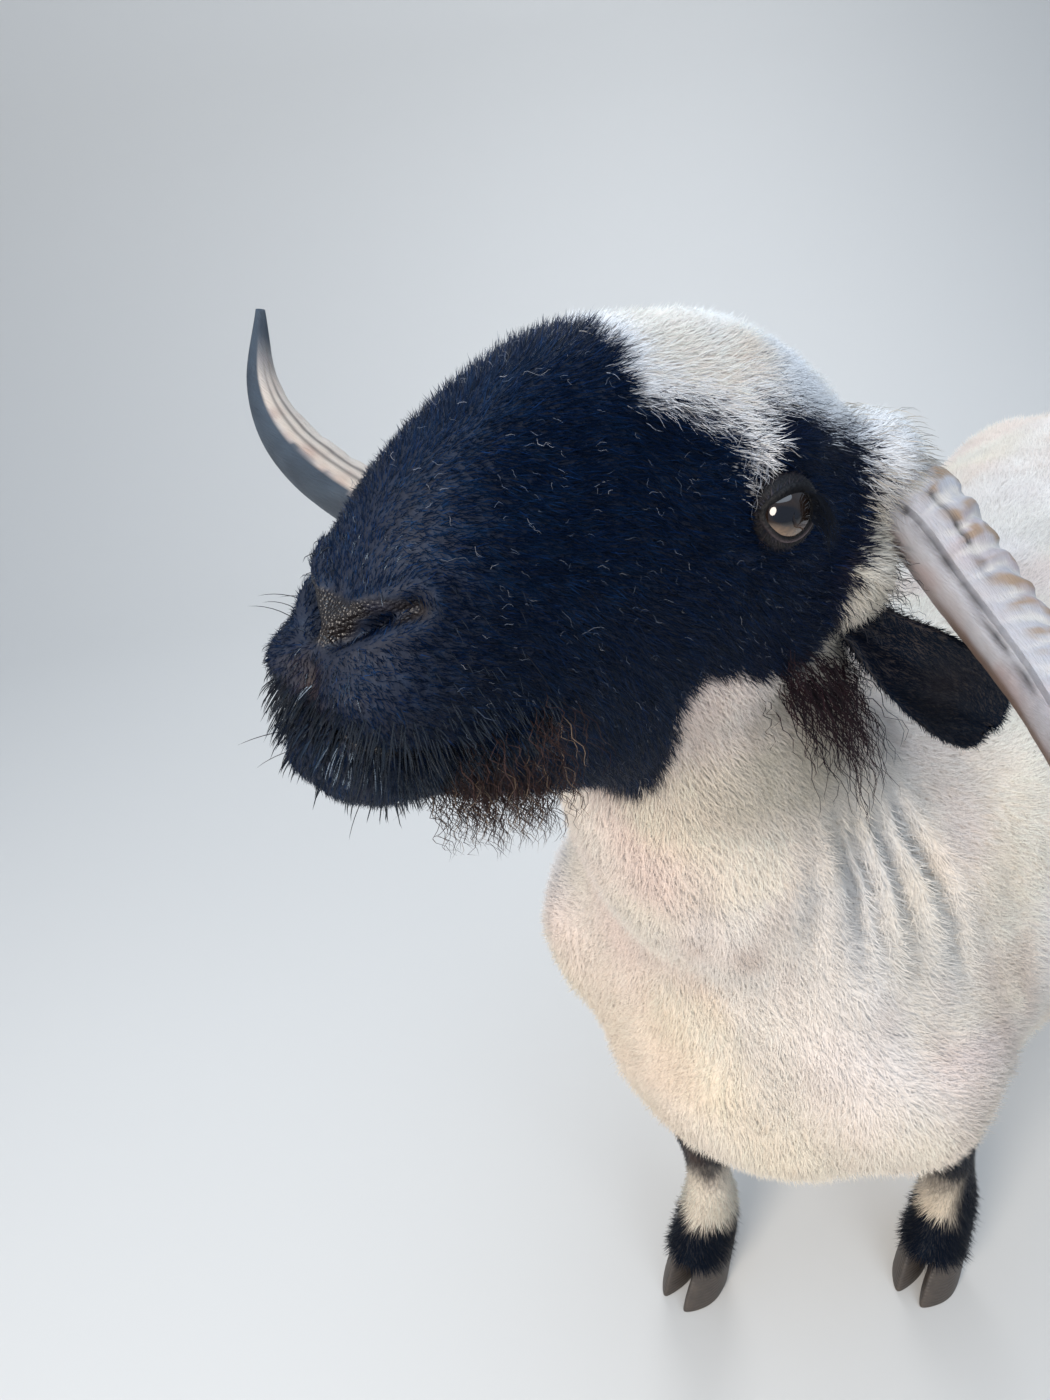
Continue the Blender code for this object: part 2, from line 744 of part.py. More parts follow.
def ear(side, count=7):
    """A cupped leaf: an outer and an inner wall that meet along a rounded rim."""
    rows = eased(EAR_STATIONS, 2)
    facing = HEAD_FRAME.to_3x3() @ Vector((side * EAR_FACING.x, EAR_FACING.y, EAR_FACING.z))
    facing.normalize()
    centres = []
    for i, (x, forward, height, width) in enumerate(rows):
        pushed = EAR_PUSHED * (i / len(rows)) if side < 0 else Vector()
        middle = Vector((side * (x + pushed.x), -(forward + pushed.y), height + pushed.z))
        centres.append(HEAD_FRAME @ middle)
    rings = []
    for i, row in enumerate(rows):
        along = (centres[min(i + 1, len(rows) - 1)] - centres[max(i - 1, 0)]).normalized()
        out = (facing - along * facing.dot(along)).normalized()
        wide = along.cross(out)
        half_width = EAR_HALF_WIDTH * row[3]
        cup = half_width * 0.55
        thick = EAR_THICKNESS * (1.0 + 1.4 * max(0.0, 1.0 - 3.0 * i / len(rows)))
        ring = []
        for wall, steps in ((-1, range(count)), (1, range(count - 2, 0, -1))):
            for k in steps:
                u = -1.0 + 2.0 * k / (count - 1)
                dip = cup * (u * u - 0.4)
                rim = math.sqrt(max(1.0 - u * u, 0.0))
                from_middle = dip + wall * thick * 0.5 * (0.25 + 0.75 * rim)
                ring.append(centres[i] + wide * u * half_width + out * from_middle)
        rings.append(ring)
    made = loft("ear_left" if side > 0 else "ear_right", rings)
    made.data.update()
    return triangulated(made)


# Horns: open spirals, ridged across, that leave the poll level and turn up at their tips

# x, forward and height of the horn's core, width and depth of the section
HORN_STATIONS = (
    (0.028, 0.014, 0.044, 0.040, 0.032),
    (0.060, -0.012, 0.036, 0.056, 0.044),
    (0.100, -0.023, 0.002, 0.054, 0.042),
    (0.150, -0.011, -0.029, 0.050, 0.038),
    (0.193, 0.022, -0.048, 0.045, 0.036),
    (0.232, 0.068, -0.046, 0.045, 0.037),
    (0.270, 0.110, -0.024, 0.045, 0.038),
    (0.303, 0.133, 0.001, 0.038, 0.033),
    (0.325, 0.142, 0.034, 0.024, 0.021),
    (0.335, 0.140, 0.080, 0.007, 0.006),
)
HORN_RIDGES = 13
HORN_RIDGE_HEIGHT = 0.055


def horn(side, count=10):
    """A three-cornered section swept along the spiral, with growth ridges that die out at the tip."""
    rows = eased(HORN_STATIONS, 4)
    centres = [HEAD_FRAME @ Vector((side * r[0], -r[1], r[2])) for r in rows]
    up = HEAD_FRAME.to_3x3() @ Vector((0, 0, 1))
    deep = None
    rings = []
    for i, row in enumerate(rows):
        along = (centres[min(i + 1, len(rows) - 1)] - centres[max(i - 1, 0)]).normalized()
        deep = up if deep is None else deep
        deep = (deep - along * deep.dot(along)).normalized()
        wide = along.cross(deep)
        share = i / (len(rows) - 1)
        ridge = 1.0 + HORN_RIDGE_HEIGHT * (1.0 - share) * math.sin(2 * math.pi * HORN_RIDGES * share)
        ring = []
        for k in range(count):
            angle = 2 * math.pi * k / count
            corner = 1.0 + 0.07 * math.cos(3 * angle + 0.6)
            ring.append(
                centres[i]
                + wide * math.cos(angle) * row[3] * 0.5 * corner * ridge
                + deep * math.sin(angle) * row[4] * 0.5 * corner * ridge
            )
        rings.append(ring)
    return loft("horn_left" if side > 0 else "horn_right", rings)


# Feet: two claws on each, flat on the floor

CLAW_LENGTH = 0.068
CLAW_HALF_WIDTH = 0.0145
CLAW_SPREAD = 0.0168
# height, share of the sole's size and shift backwards of each ring of a claw
CLAW_LEVELS = ((0.0, 0.94, -0.012), (0.003, 1.0, -0.011), (0.025, 0.94, -0.001), (0.060, 0.84, 0.016))
CORONET_HEIGHT = 0.046
CORONET_SLOPE = math.radians(18.0)
FEET = {
    "fore_left": (FORE_STANCE, -0.018 + FORE_STRIDE),
    "fore_right": (-FORE_STANCE, -0.018 - FORE_STRIDE),
    "hind_left": (HIND_STANCE, 0.588 + HIND_STRIDE),
    "hind_right": (-HIND_STANCE, 0.588 - HIND_STRIDE),
}


def claw(name, centre, inner):
    """One claw: a flat sole, rounded at the heel and drawn to a blunt toe, narrowing up to the coronet."""
    rings = []
    for z, shrink, lean in CLAW_LEVELS:
        ring = []
        for k in range(14):
            angle = 2 * math.pi * k / 14
            c, s = math.cos(angle), math.sin(angle)
            toe = max(-s, 0.0)
            across = CLAW_HALF_WIDTH * c * (1.0 - 0.42 * toe**2) + inner * 0.004 * toe**2
            lengthwise = s * CLAW_LENGTH * 0.5
            ring.append(Vector((centre[0] + across * shrink, centre[1] + lengthwise * shrink + lean, z)))
        rings.append(ring)
    return loft(name, rings)


def feet(legs):
    """Cuts each leg at the coronet and sets two claws under it."""
    made = []
    normal = Vector((0, math.sin(CORONET_SLOPE), math.cos(CORONET_SLOPE)))
    for place, (x, y) in FEET.items():
        plane = Vector((x, y, CORONET_HEIGHT))
        discard(part_by_plane(legs[place], "scrap", plane, -normal))
        for side in (1, -1):
            which = "outer" if side * x > 0 else "inner"
            toe = claw(f"claw_{place}_{which}", (x + side * CLAW_SPREAD, y), -side)
            discard(part_by_plane(toe, "scrap", plane, normal))
            made.append(toe)
    return made


# The tail hangs close to the rump

TAIL_STATIONS = (
    (0.000, 0.660, 0.665, 0.034, 0.030),
    (0.000, 0.705, 0.655, 0.036, 0.030),
    (0.000, 0.742, 0.615, 0.034, 0.026),
    (0.000, 0.757, 0.550, 0.032, 0.023),
    (0.002, 0.760, 0.480, 0.030, 0.021),
    (0.004, 0.757, 0.420, 0.026, 0.018),
    (0.005, 0.752, 0.372, 0.016, 0.013),
    (0.005, 0.750, 0.355, 0.006, 0.006),
)

# Where the skin is cut into its named parts: a point, and the way that the taken part lies
NECK_CUT = (Vector((0.003, -0.060, 0.662)), Vector((0.02, -0.45, 1.0)).normalized())
HEAD_CUT = (
    HEAD_FRAME @ Vector((0, -0.004, -0.020)),
    (HEAD_FRAME.to_3x3() @ Vector((0, -1.0, 0.45))).normalized(),
)
LEG_CUT = 0.352
HIND_CUT = 0.385


def centre_on_floor(objects):
    """Moves the whole animal so that its box stands centred over the origin."""
    corners = np.array([obj.matrix_world @ vert.co for obj in objects for vert in obj.data.vertices])
    low, high = corners.min(axis=0), corners.max(axis=0)
    shift = Matrix.Translation((-(low[0] + high[0]) / 2, -(low[1] + high[1]) / 2, -low[2]))
    for obj in objects:
        obj.data.transform(shift)


def main():
    clear_scene()
    flesh = fused_flesh()
    thin(flesh)
    parts = {}
    parts["head"] = part_by_plane(flesh, "head", *HEAD_CUT)
    parts["neck"] = part_by_plane(flesh, "neck", *NECK_CUT)
    flesh.name = "torso"
    parts["torso"] = flesh
    legs = {}
    for place, height, y in (("fore", LEG_CUT, 0.01), ("hind", HIND_CUT, 0.60)):
        for side, which in ((1, "left"), (-1, "right")):
            size = (0.20, 0.34, 2 * height)
            centre = Vector((side * 0.101, y, 0.0))
            legs[f"{place}_{which}"] = part_by_block(flesh, f"{place}leg_{which}", centre, size)
    claws = feet(legs)
    finish_head(parts["head"], parts["neck"])
    pieces = []
    for side, which in ((1, "left"), (-1, "right")):
        eye = eye_ball(side, f"eye_{which}", EYE_RADIUS)
        pieces.append((eye, EYE_BROWN, 0.08))
        spiral = seat(seat(horn(side), parts["head"]), parts["neck"])
        leaf = ear(side)
        for neighbour in (parts["head"], parts["neck"], spiral):
            seat(leaf, neighbour)
        pieces += [(spiral, HORN_TAN, 0.55), (leaf, COAT_BLACK, 0.9)]
    tail = seat(limb("tail", TAIL_STATIONS, count=12, steps=2), parts["torso"])
    pieces.append((tail, COAT_CREAM, 0.95))
    pieces.append((parts["head"], COAT_BLACK, 0.9))
    pieces += [(parts[name], COAT_CREAM, 0.95) for name in ("neck", "torso")]
    pieces += [(leg, COAT_BLACK, 0.9) for leg in legs.values()]
    pieces += [(toe, HOOF_DARK, 0.6) for toe in claws]
    for obj, colour, roughness in pieces:
        obj.data.materials.clear()
        obj.data.materials.append(material(obj.name + "_finish", colour, roughness))
        obj.data.shade_smooth()
    centre_on_floor([obj for obj, colour, roughness in pieces])


main()
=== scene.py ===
import math

import bmesh
import bpy
import numpy as np
from mathutils import Matrix, Vector


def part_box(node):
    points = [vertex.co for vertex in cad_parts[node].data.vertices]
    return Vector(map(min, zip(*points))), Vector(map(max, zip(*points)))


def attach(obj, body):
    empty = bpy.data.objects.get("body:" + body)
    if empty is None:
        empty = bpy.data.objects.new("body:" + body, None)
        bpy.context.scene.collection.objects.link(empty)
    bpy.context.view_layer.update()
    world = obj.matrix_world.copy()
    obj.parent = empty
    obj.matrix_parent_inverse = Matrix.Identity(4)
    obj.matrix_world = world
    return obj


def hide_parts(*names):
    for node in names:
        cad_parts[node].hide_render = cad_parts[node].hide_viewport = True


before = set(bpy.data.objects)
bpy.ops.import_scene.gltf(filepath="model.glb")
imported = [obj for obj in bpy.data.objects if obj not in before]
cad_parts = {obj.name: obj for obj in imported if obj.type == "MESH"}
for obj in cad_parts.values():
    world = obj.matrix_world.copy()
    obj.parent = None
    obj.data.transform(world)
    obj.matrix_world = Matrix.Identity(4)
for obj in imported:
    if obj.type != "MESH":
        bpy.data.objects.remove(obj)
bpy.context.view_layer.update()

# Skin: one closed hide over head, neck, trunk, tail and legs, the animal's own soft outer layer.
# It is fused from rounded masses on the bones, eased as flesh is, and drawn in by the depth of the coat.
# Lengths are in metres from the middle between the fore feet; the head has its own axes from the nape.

claw_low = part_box("claw_fore_left_inner")[0]
stand = Vector((claw_low.x - 0.0597, claw_low.y - 0.0149, 0.0))
nape = Vector((0.042, -0.107, 0.880))
head_axes = (
    Matrix.Translation(nape)
    @ Matrix.Rotation(math.radians(-3.0), 4, "Z")
    @ Matrix.Rotation(math.radians(-19.0), 4, "X")
    @ Matrix.Rotation(math.radians(3.0), 4, "Y")
)
withers = 0.722
belly = 0.405


def mesh_object(name, bm):
    bmesh.ops.recalc_face_normals(bm, faces=bm.faces)
    mesh = bpy.data.meshes.new(name)
    bm.to_mesh(mesh)
    bm.free()
    made = bpy.data.objects.new(name, mesh)
    bpy.context.scene.collection.objects.link(made)
    return made


def applied(made):
    graph = bpy.context.evaluated_depsgraph_get()
    mesh = bpy.data.meshes.new_from_object(made.evaluated_get(graph))
    made.modifiers.clear()
    made.data = mesh
    return made


def hide_through(name, rings):
    """A closed tube through rings of points, fanned shut at each end."""
    bm = bmesh.new()
    loops = [[bm.verts.new(p) for p in ring] for ring in rings]
    count = len(rings[0])
    for lower, upper in zip(loops, loops[1:]):
        for i in range(count):
            j = (i + 1) % count
            bm.faces.new((lower[i], lower[j], upper[j], upper[i]))
    for loop, ring in ((loops[0], rings[0]), (loops[-1], rings[-1])):
        middle = bm.verts.new(sum((Vector(p) for p in ring), Vector()) / count)
        for i in range(count):
            bm.faces.new((loop[i], loop[(i + 1) % count], middle))
    return mesh_object(name, bm)


def smooth_rows(stations, steps):
    rows = [np.array(row, float) for row in stations]
    padded = [2 * rows[0] - rows[1], *rows, 2 * rows[-1] - rows[-2]]
    found = []
    for a, b, c, d in zip(padded, padded[1:], padded[2:], padded[3:]):
        for k in range(steps):
            t = k / steps
            cubic = (c - a) * t + (2 * a - 5 * b + 4 * c - d) * t**2 + (3 * b - a - 3 * c + d) * t**3
            found.append(b + 0.5 * cubic)
    found.append(rows[-1])
    return found


def oval(count, half_width, half_height, squareness=2.0):
    points = []
    for k in range(count):
        c, s = math.cos(2 * math.pi * k / count), math.sin(2 * math.pi * k / count)
        across = half_width * math.copysign(abs(c) ** (2 / squareness), c)
        points.append((across, half_height * math.copysign(abs(s) ** (2 / squareness), s)))
    return points


def limb(name, stations, count=16, steps=4, across=Vector((1, 0, 0))):
    rows = smooth_rows(stations, steps)
    rings = []
    for i, row in enumerate(rows):
        before, after = rows[max(i - 1, 0)], rows[min(i + 1, len(rows) - 1)]
        along = Vector(after[:3] - before[:3]).normalized()
        side = (across - along * across.dot(along)).normalized()
        deep = along.cross(side)
        middle = Vector(row[:3])
        rings.append([middle + side * u + deep * v for u, v in oval(count, row[3], row[4])])
    return hide_through(name, rings)


def muscle(name, centre, radii, turn=0.0):
    bm = bmesh.new()
    bmesh.ops.create_icosphere(bm, subdivisions=3, radius=1.0)
    place = Matrix.Translation(centre) @ Matrix.Rotation(turn, 4, "X") @ Matrix.Diagonal((*radii, 1.0))
    bmesh.ops.transform(bm, matrix=place, verts=bm.verts)
    return mesh_object(name, bm)


def head_ring(row, count=32):
    forward, crown, chin, half_width, level, bridge, jaw = row
    ring = []
    for u, v in oval(count, 1.0, 1.0, 2.5):
        reach = crown - level if v > 0 else level - chin
        narrowing = (bridge if v > 0 else jaw) * abs(v) ** 1.6
        ring.append(head_axes @ Vector((u * half_width * (1 - narrowing), -forward, level + v * reach)))
    return ring


def trunk_ring(row, count=40):
    y, top, bottom, half_width, level = row
    ring = []
    for u, v in oval(count, 1.0, 1.0, 2.05):
        reach = top - level if v > 0 else level - bottom
        narrowing = 0.17 * v**2 if v > 0 else 0.16 * v**2
        ring.append(Vector((u * half_width * (1 - narrowing), y, level + v * reach)))
    return ring


# forward of the nape, crown, chin, half width, height of the widest line, narrowing of bridge and of jaw
skull = (
    (-0.020, 0.035, -0.035, 0.034, 0.00, 0.05, 0.10),
    (0.000, 0.064, -0.064, 0.054, 0.00, 0.04, 0.12),
    (0.035, 0.093, -0.092, 0.064, 0.01, 0.06, 0.16),
    (0.075, 0.109, -0.112, 0.068, 0.02, 0.09, 0.22),
    (0.110, 0.115, -0.119, 0.068, 0.02, 0.14, 0.28),
    (0.150, 0.111, -0.118, 0.062, 0.01, 0.20, 0.32),
    (0.190, 0.105, -0.112, 0.056, 0.00, 0.25, 0.32),
    (0.225, 0.089, -0.103, 0.051, -0.01, 0.25, 0.28),
    (0.255, 0.065, -0.094, 0.047, -0.02, 0.22, 0.25),
    (0.275, 0.039, -0.087, 0.043, -0.03, 0.20, 0.25),
    (0.291, 0.004, -0.078, 0.036, -0.038, 0.20, 0.28),
    (0.300, -0.018, -0.066, 0.020, -0.043, 0.20, 0.25),
)
# sideways, forward and height in the head, and three radii
head_masses = (
    ((0.046, 0.098, 0.058), (0.022, 0.034, 0.020)),
    ((0.050, 0.106, 0.036), (0.020, 0.030, 0.026)),
    ((0.040, 0.075, -0.030), (0.026, 0.060, 0.055)),
    ((0.019, 0.277, -0.006), (0.016, 0.018, 0.013)),
    ((0.020, 0.275, -0.036), (0.026, 0.036, 0.018)),
    ((0.010, 0.270, -0.073), (0.024, 0.036, 0.018)),
    ((0.040, 0.006, 0.049), (0.033, 0.036, 0.034)),
    ((0.054, 0.024, 0.000), (0.026, 0.032, 0.030)),
)
# distance behind the fore feet, top line, under line, half width, height of the widest line
barrel = (
    (-0.185, 0.590, 0.455, 0.065, 0.530),
    (-0.155, 0.645, 0.405, 0.140, 0.530),
    (-0.095, 0.680, belly - 0.030, 0.182, 0.540),
    (0.000, 0.705, belly - 0.025, 0.185, 0.560),
    (0.100, withers, belly - 0.005, 0.178, 0.570),
    (0.210, withers + 0.004, belly + 0.005, 0.188, 0.570),
    (0.330, withers + 0.012, belly + 0.005, 0.208, 0.565),
    (0.450, withers + 0.020, belly + 0.010, 0.212, 0.570),
    (0.550, withers + 0.022, belly + 0.040, 0.194, 0.585),
    (0.630, withers + 0.006, 0.475, 0.172, 0.600),
    (0.685, withers - 0.026, 0.515, 0.140, 0.605),
    (0.715, 0.655, 0.560, 0.085, 0.610),
)
neck_line = (
    (0.000, 0.040, 0.550, 0.145, 0.165),
    (0.003, -0.050, 0.632, 0.140, 0.146),
    (0.006, -0.112, 0.700, 0.122, 0.124),
    (0.011, -0.150, 0.768, 0.098, 0.104),
    (0.024, -0.168, 0.842, 0.076, 0.088),
)
tail_line = (
    (0.000, 0.660, 0.665, 0.034, 0.030),
    (0.000, 0.705, 0.655, 0.036, 0.030),
    (0.000, 0.742, 0.615, 0.034, 0.026),
    (0.000, 0.757, 0.550, 0.032, 0.023),
    (0.002, 0.760, 0.480, 0.030, 0.021),
    (0.004, 0.757, 0.420, 0.026, 0.018),
    (0.005, 0.752, 0.372, 0.016, 0.013),
    (0.005, 0.750, 0.355, 0.006, 0.006),
)

flesh = [hide_through("skull", [head_ring(row) for row in smooth_rows(skull, 4)])]
for side in (1, -1):
    for (x, forward, height), radii in head_masses:
        mass = muscle("mass", (0, 0, 0), radii)
        mass.data.transform(head_axes @ Matrix.Translation((side * x, -forward, height)))
        flesh.append(mass)
flesh += [
    hide_through("trunk", [trunk_ring(row) for row in smooth_rows(barrel, 3)]),
    limb("neck", neck_line, count=24),
    limb("tail", tail_line, count=20),
    muscle("brisket", (0, -0.115, 0.442), (0.134, 0.092, 0.090)),
    muscle("crest", (0.006, 0.015, 0.690), (0.105, 0.190, 0.062), -0.42),
]
for side in (1, -1):
    fore_x, fore_step = side * 0.091, side * 0.077
    hind_x, hind_step = side * 0.112, side * 0.035
    fore = (
        (fore_x * 0.95, 0.030, 0.560, 0.050, 0.085),
        (fore_x * 1.05, 0.045 + fore_step * 0.2, 0.450, 0.048, 0.070),
        (fore_x * 1.05, 0.035 + fore_step * 0.5, 0.345, 0.040, 0.047),
        (fore_x, 0.012 + fore_step * 0.8, 0.262, 0.032, 0.034),
        (fore_x, 0.004 + fore_step * 0.9, 0.225, 0.033, 0.034),
        (fore_x, 0.008 + fore_step * 0.95, 0.188, 0.026, 0.027),
        (fore_x, 0.012 + fore_step, 0.145, 0.024, 0.025),
        (fore_x, 0.012 + fore_step, 0.105, 0.028, 0.030),
        (fore_x, 0.004 + fore_step, 0.080, 0.030, 0.032),
        (fore_x, -0.010 + fore_step, 0.056, 0.030, 0.032),
        (fore_x, -0.018 + fore_step, 0.038, 0.031, 0.036),
    )
    hind = (
        (hind_x * 0.90, 0.560, 0.600, 0.070, 0.120),
        (hind_x * 1.02, 0.550 + hind_step * 0.2, 0.500, 0.066, 0.110),
        (hind_x * 1.10, 0.555 + hind_step * 0.4, 0.425, 0.052, 0.080),
        (hind_x * 1.04, 0.605 + hind_step * 0.7, 0.350, 0.036, 0.048),
        (hind_x, 0.650 + hind_step * 0.9, 0.292, 0.029, 0.038),
        (hind_x, 0.655 + hind_step, 0.255, 0.027, 0.034),
        (hind_x, 0.640 + hind_step, 0.205, 0.024, 0.027),
        (hind_x, 0.628 + hind_step, 0.150, 0.023, 0.026),
        (hind_x, 0.622 + hind_step, 0.105, 0.027, 0.031),
        (hind_x, 0.612 + hind_step, 0.080, 0.029, 0.032),
        (hind_x, 0.596 + hind_step, 0.056, 0.029, 0.032),
        (hind_x, 0.588 + hind_step, 0.038, 0.030, 0.036),
    )
    flesh += [
        muscle("shoulder", (side * 0.125, 0.030, 0.560), (0.075, 0.110, 0.150), 0.25),
        muscle("shoulder_point", (side * 0.118 - 0.002, -0.098, 0.507), (0.081, 0.083, 0.101)),
        muscle("neck_bed", (side * 0.077, -0.060, 0.622), (0.092, 0.111, 0.100), 0.3),
        muscle("haunch", (side * 0.105, 0.575, 0.570), (0.095, 0.120, 0.150), -0.2),
        limb("fore", fore),
        limb("hind", hind),
    ]

bm = bmesh.new()
for mass in flesh:
    bm.from_mesh(mass.data)
    bpy.data.objects.remove(mass)
skin = mesh_object("skin", bm)
fuse = skin.modifiers.new("fuse", "REMESH")
fuse.mode = "VOXEL"
fuse.voxel_size = 0.006
ease = skin.modifiers.new("ease", "SMOOTH")
ease.factor = 0.5
ease.iterations = 8
applied(skin)
calm = skin.vertex_groups.new(name="calm")
for vert in skin.data.vertices:
    rise = min(max((vert.co.z - 0.76) / 0.09, 0.0), 1.0)
    drop = min(max((vert.co.z - 0.34) / 0.06, 0.0), 1.0)
    ahead = min(max((-0.02 - vert.co.y) / 0.06, 0.0), 1.0)
    tail_end = min(max((0.735 - vert.co.y) / 0.02, 0.0), 1.0)
    calm.add([vert.index], drop * (1.0 - rise * ahead) * tail_end, "REPLACE")
soften = skin.modifiers.new("soften", "SMOOTH")
soften.factor = 0.5
soften.iterations = 160
soften.vertex_group = calm.name
applied(skin)
skin.vertex_groups.clear()


def in_head(points):
    """Sideways, forward and height of each point in the head."""
    back = np.array(head_axes.inverted())
    local = points @ back[:3, :3].T + back[:3, 3]
    return local * (1.0, -1.0, 1.0)


def ramp(value, start, end):
    share = np.clip((value - start) / (end - start), 0.0, 1.0)
    return share * share * (3.0 - 2.0 * share)


def mottle(points, size, seed=0):
    """Smooth noise from 0 to 1 that changes over about the given size."""
    p = points / size + 37.0 + seed * 11.3
    cell = np.floor(p).astype(np.int64)
    part = p - cell
    part = part * part * (3.0 - 2.0 * part)
    total = np.zeros(len(points))
    for corner in range(8):
        step = np.array((corner & 1, corner >> 1 & 1, corner >> 2 & 1))
        spot = cell + step
        mixed = spot[:, 0] * 73856093 ^ spot[:, 1] * 19349663 ^ spot[:, 2] * 83492791 ^ (seed + 1) * 2654435
        draw = ((mixed * 1103515245 + 12345) % 2147483648) / 2147483648.0
        weight = np.prod(np.where(step == 1, part, 1.0 - part), axis=1)
        total += draw * weight
    return total


def line_distance(points, line):
    """Distance of each point to a bent line, and how far along the line it lies, from 0 to 1."""
    best = np.full(len(points), 9.0)
    place = np.zeros(len(points))
    for k, (a, b) in enumerate(zip(line, line[1:])):
        a, b = np.array(a), np.array(b)
        t = np.clip(((points - a) @ (b - a)) / ((b - a) @ (b - a)), 0.0, 1.0)
        gap = np.linalg.norm(points - (a + t[:, None] * (b - a)), axis=1)
        place = np.where(gap < best, (k + t) / (len(line) - 1), place)
        best = np.minimum(best, gap)
    return best, place


def vertex_arrays(mesh):
    count = len(mesh.vertices)
    points, normals = np.empty(count * 3), np.empty(count * 3)
    mesh.vertices.foreach_get("co", points)
    mesh.vertices.foreach_get("normal", normals)
    return points.reshape(-1, 3), normals.reshape(-1, 3)


def refine(made, chosen):
    """Cuts each chosen face in four and eases the new corners, for detail finer than the fused mesh."""
    points, normals = vertex_arrays(made.data)
    keep = chosen(points)
    bm = bmesh.new()
    bm.from_mesh(made.data)
    bm.verts.ensure_lookup_table()
    edges = [e for e in bm.edges if keep[e.verts[0].index] and keep[e.verts[1].index]]
    bmesh.ops.subdivide_edges(bm, edges=edges, cuts=1, use_grid_fill=True, smooth=0.0)
    bm.to_mesh(made.data)
    bm.free()
    points, normals = vertex_arrays(made.data)
    eased_group = made.vertex_groups.new(name="eased")
    eased_group.add(np.flatnonzero(chosen(points)).tolist(), 1.0, "REPLACE")
    easing = made.modifiers.new("easing", "SMOOTH")
    easing.factor = 0.5
    easing.iterations = 3
    easing.vertex_group = eased_group.name
    applied(made)
    made.vertex_groups.clear()


eye_centre = (0.0615, 0.108, 0.036)
mouth_line = (
    (0.000, 0.301, -0.050),
    (0.014, 0.299, -0.052),
    (0.028, 0.290, -0.056),
    (0.037, 0.272, -0.060),
    (0.041, 0.250, -0.061),
    (0.044, 0.230, -0.054),
    (0.045, 0.219, -0.048),
)
nostril_line = ((0.0070, 0.299, -0.018), (0.015, 0.298, -0.012), (0.024, 0.291, -0.006),
    (0.032, 0.280, -0.001))
wing_line = ((0.012, 0.2955, -0.0075), (0.020, 0.2922, -0.0048), (0.029, 0.2872, -0.0022),
    (0.034, 0.2812, -0.0008))
philtrum_line = ((0.000, 0.302, -0.014), (0.000, 0.303, -0.030), (0.000, 0.303, -0.050))
neck_folds = (
    ((0.104, -0.157, 0.765), (0.117, -0.144, 0.690), (0.119, -0.148, 0.590)),
    ((0.108, -0.143, 0.760), (0.121, -0.133, 0.690), (0.131, -0.140, 0.580)),
    ((0.113, -0.125, 0.755), (0.128, -0.115, 0.685), (0.148, -0.128, 0.585)),
    ((0.113, -0.105, 0.750), (0.137, -0.094, 0.685), (0.170, -0.100, 0.580)),
)
faint_folds = (
    ((0.096, -0.178, 0.770), (0.100, -0.172, 0.690), (0.098, -0.178, 0.600)),
    ((0.060, -0.215, 0.760), (0.050, -0.215, 0.680), (0.040, -0.205, 0.600)),
)


def near_face(points):
    local = in_head(points)
    return (local[:, 1] > -0.02) & (local[:, 2] > -0.125) & (points[:, 2] > 0.78)


def near_openings(points):
    local = in_head(points)
    folded = np.column_stack((np.abs(local[:, 0]), local[:, 1:]))
    at_eye = np.linalg.norm(folded - eye_centre, axis=1) < 0.034
    return at_eye | ((local[:, 1] > 0.212) & (local[:, 2] > -0.09) & (local[:, 2] < 0.02))


def near_folds(points):
    folded = np.column_stack((np.abs(points[:, 0]), points[:, 1:]))
    gap = np.min([line_distance(folded, line)[0] for line in neck_folds], axis=0)
    return gap < 0.03


for chosen in (near_face, near_openings, near_folds):
    refine(skin, chosen)


def fold_share(points):
    """How deep a point lies in the folds of the throat and breast, from 0 to 1."""
    side_on = np.column_stack((np.abs(points[:, 0]), points[:, 1:]))
    share = np.zeros(len(points))
    for line in neck_folds + faint_folds:
        gap, place = line_distance(side_on, line)
        fade = ramp(place, 0.0, 0.35) * (1.0 - ramp(place, 0.55, 1.0))
        fade *= 0.35 if line in faint_folds else 1.0
        share = np.maximum(share, np.exp(-((gap / 0.0070) ** 2)) * fade)
    return share


def hair_depth(points):
    """How far the coat stands off the skin, longest on the body and least on nose, lips and feet."""
    local = in_head(points)
    on_head = ramp(local[:, 2], -0.150, -0.105) * ramp(local[:, 1], -0.02, 0.02)
    on_muzzle = ramp(local[:, 1], 0.225, 0.285)
    face = 0.0045 - 0.0030 * on_muzzle
    depth = 0.0050 * (1.0 - on_head) + face * on_head
    on_leg = 1.0 - ramp(points[:, 2], 0.31, 0.39)
    on_leg *= 1.0 - ramp(points[:, 1], 0.715, 0.735)
    depth = depth * (1.0 - on_leg) + 0.0030 * on_leg
    return depth * (0.25 + 0.75 * ramp(points[:, 2], 0.045, 0.075))


def lumps(points):
    """Shallow hollows and ridges that the shears leave in the fleece, drawn out down the chest."""
    fleece = ramp(points[:, 2], 0.38, 0.44) * (1.0 - ramp(in_head(points)[:, 1], -0.06, -0.03)
        * ramp(points[:, 2], 0.72, 0.78))
    drawn_out = points * (1.0, 1.0, 0.55)
    return (0.0050 * mottle(drawn_out, 0.034, 21) + 0.0022 * mottle(drawn_out, 0.014, 22) - 0.0030) * fleece


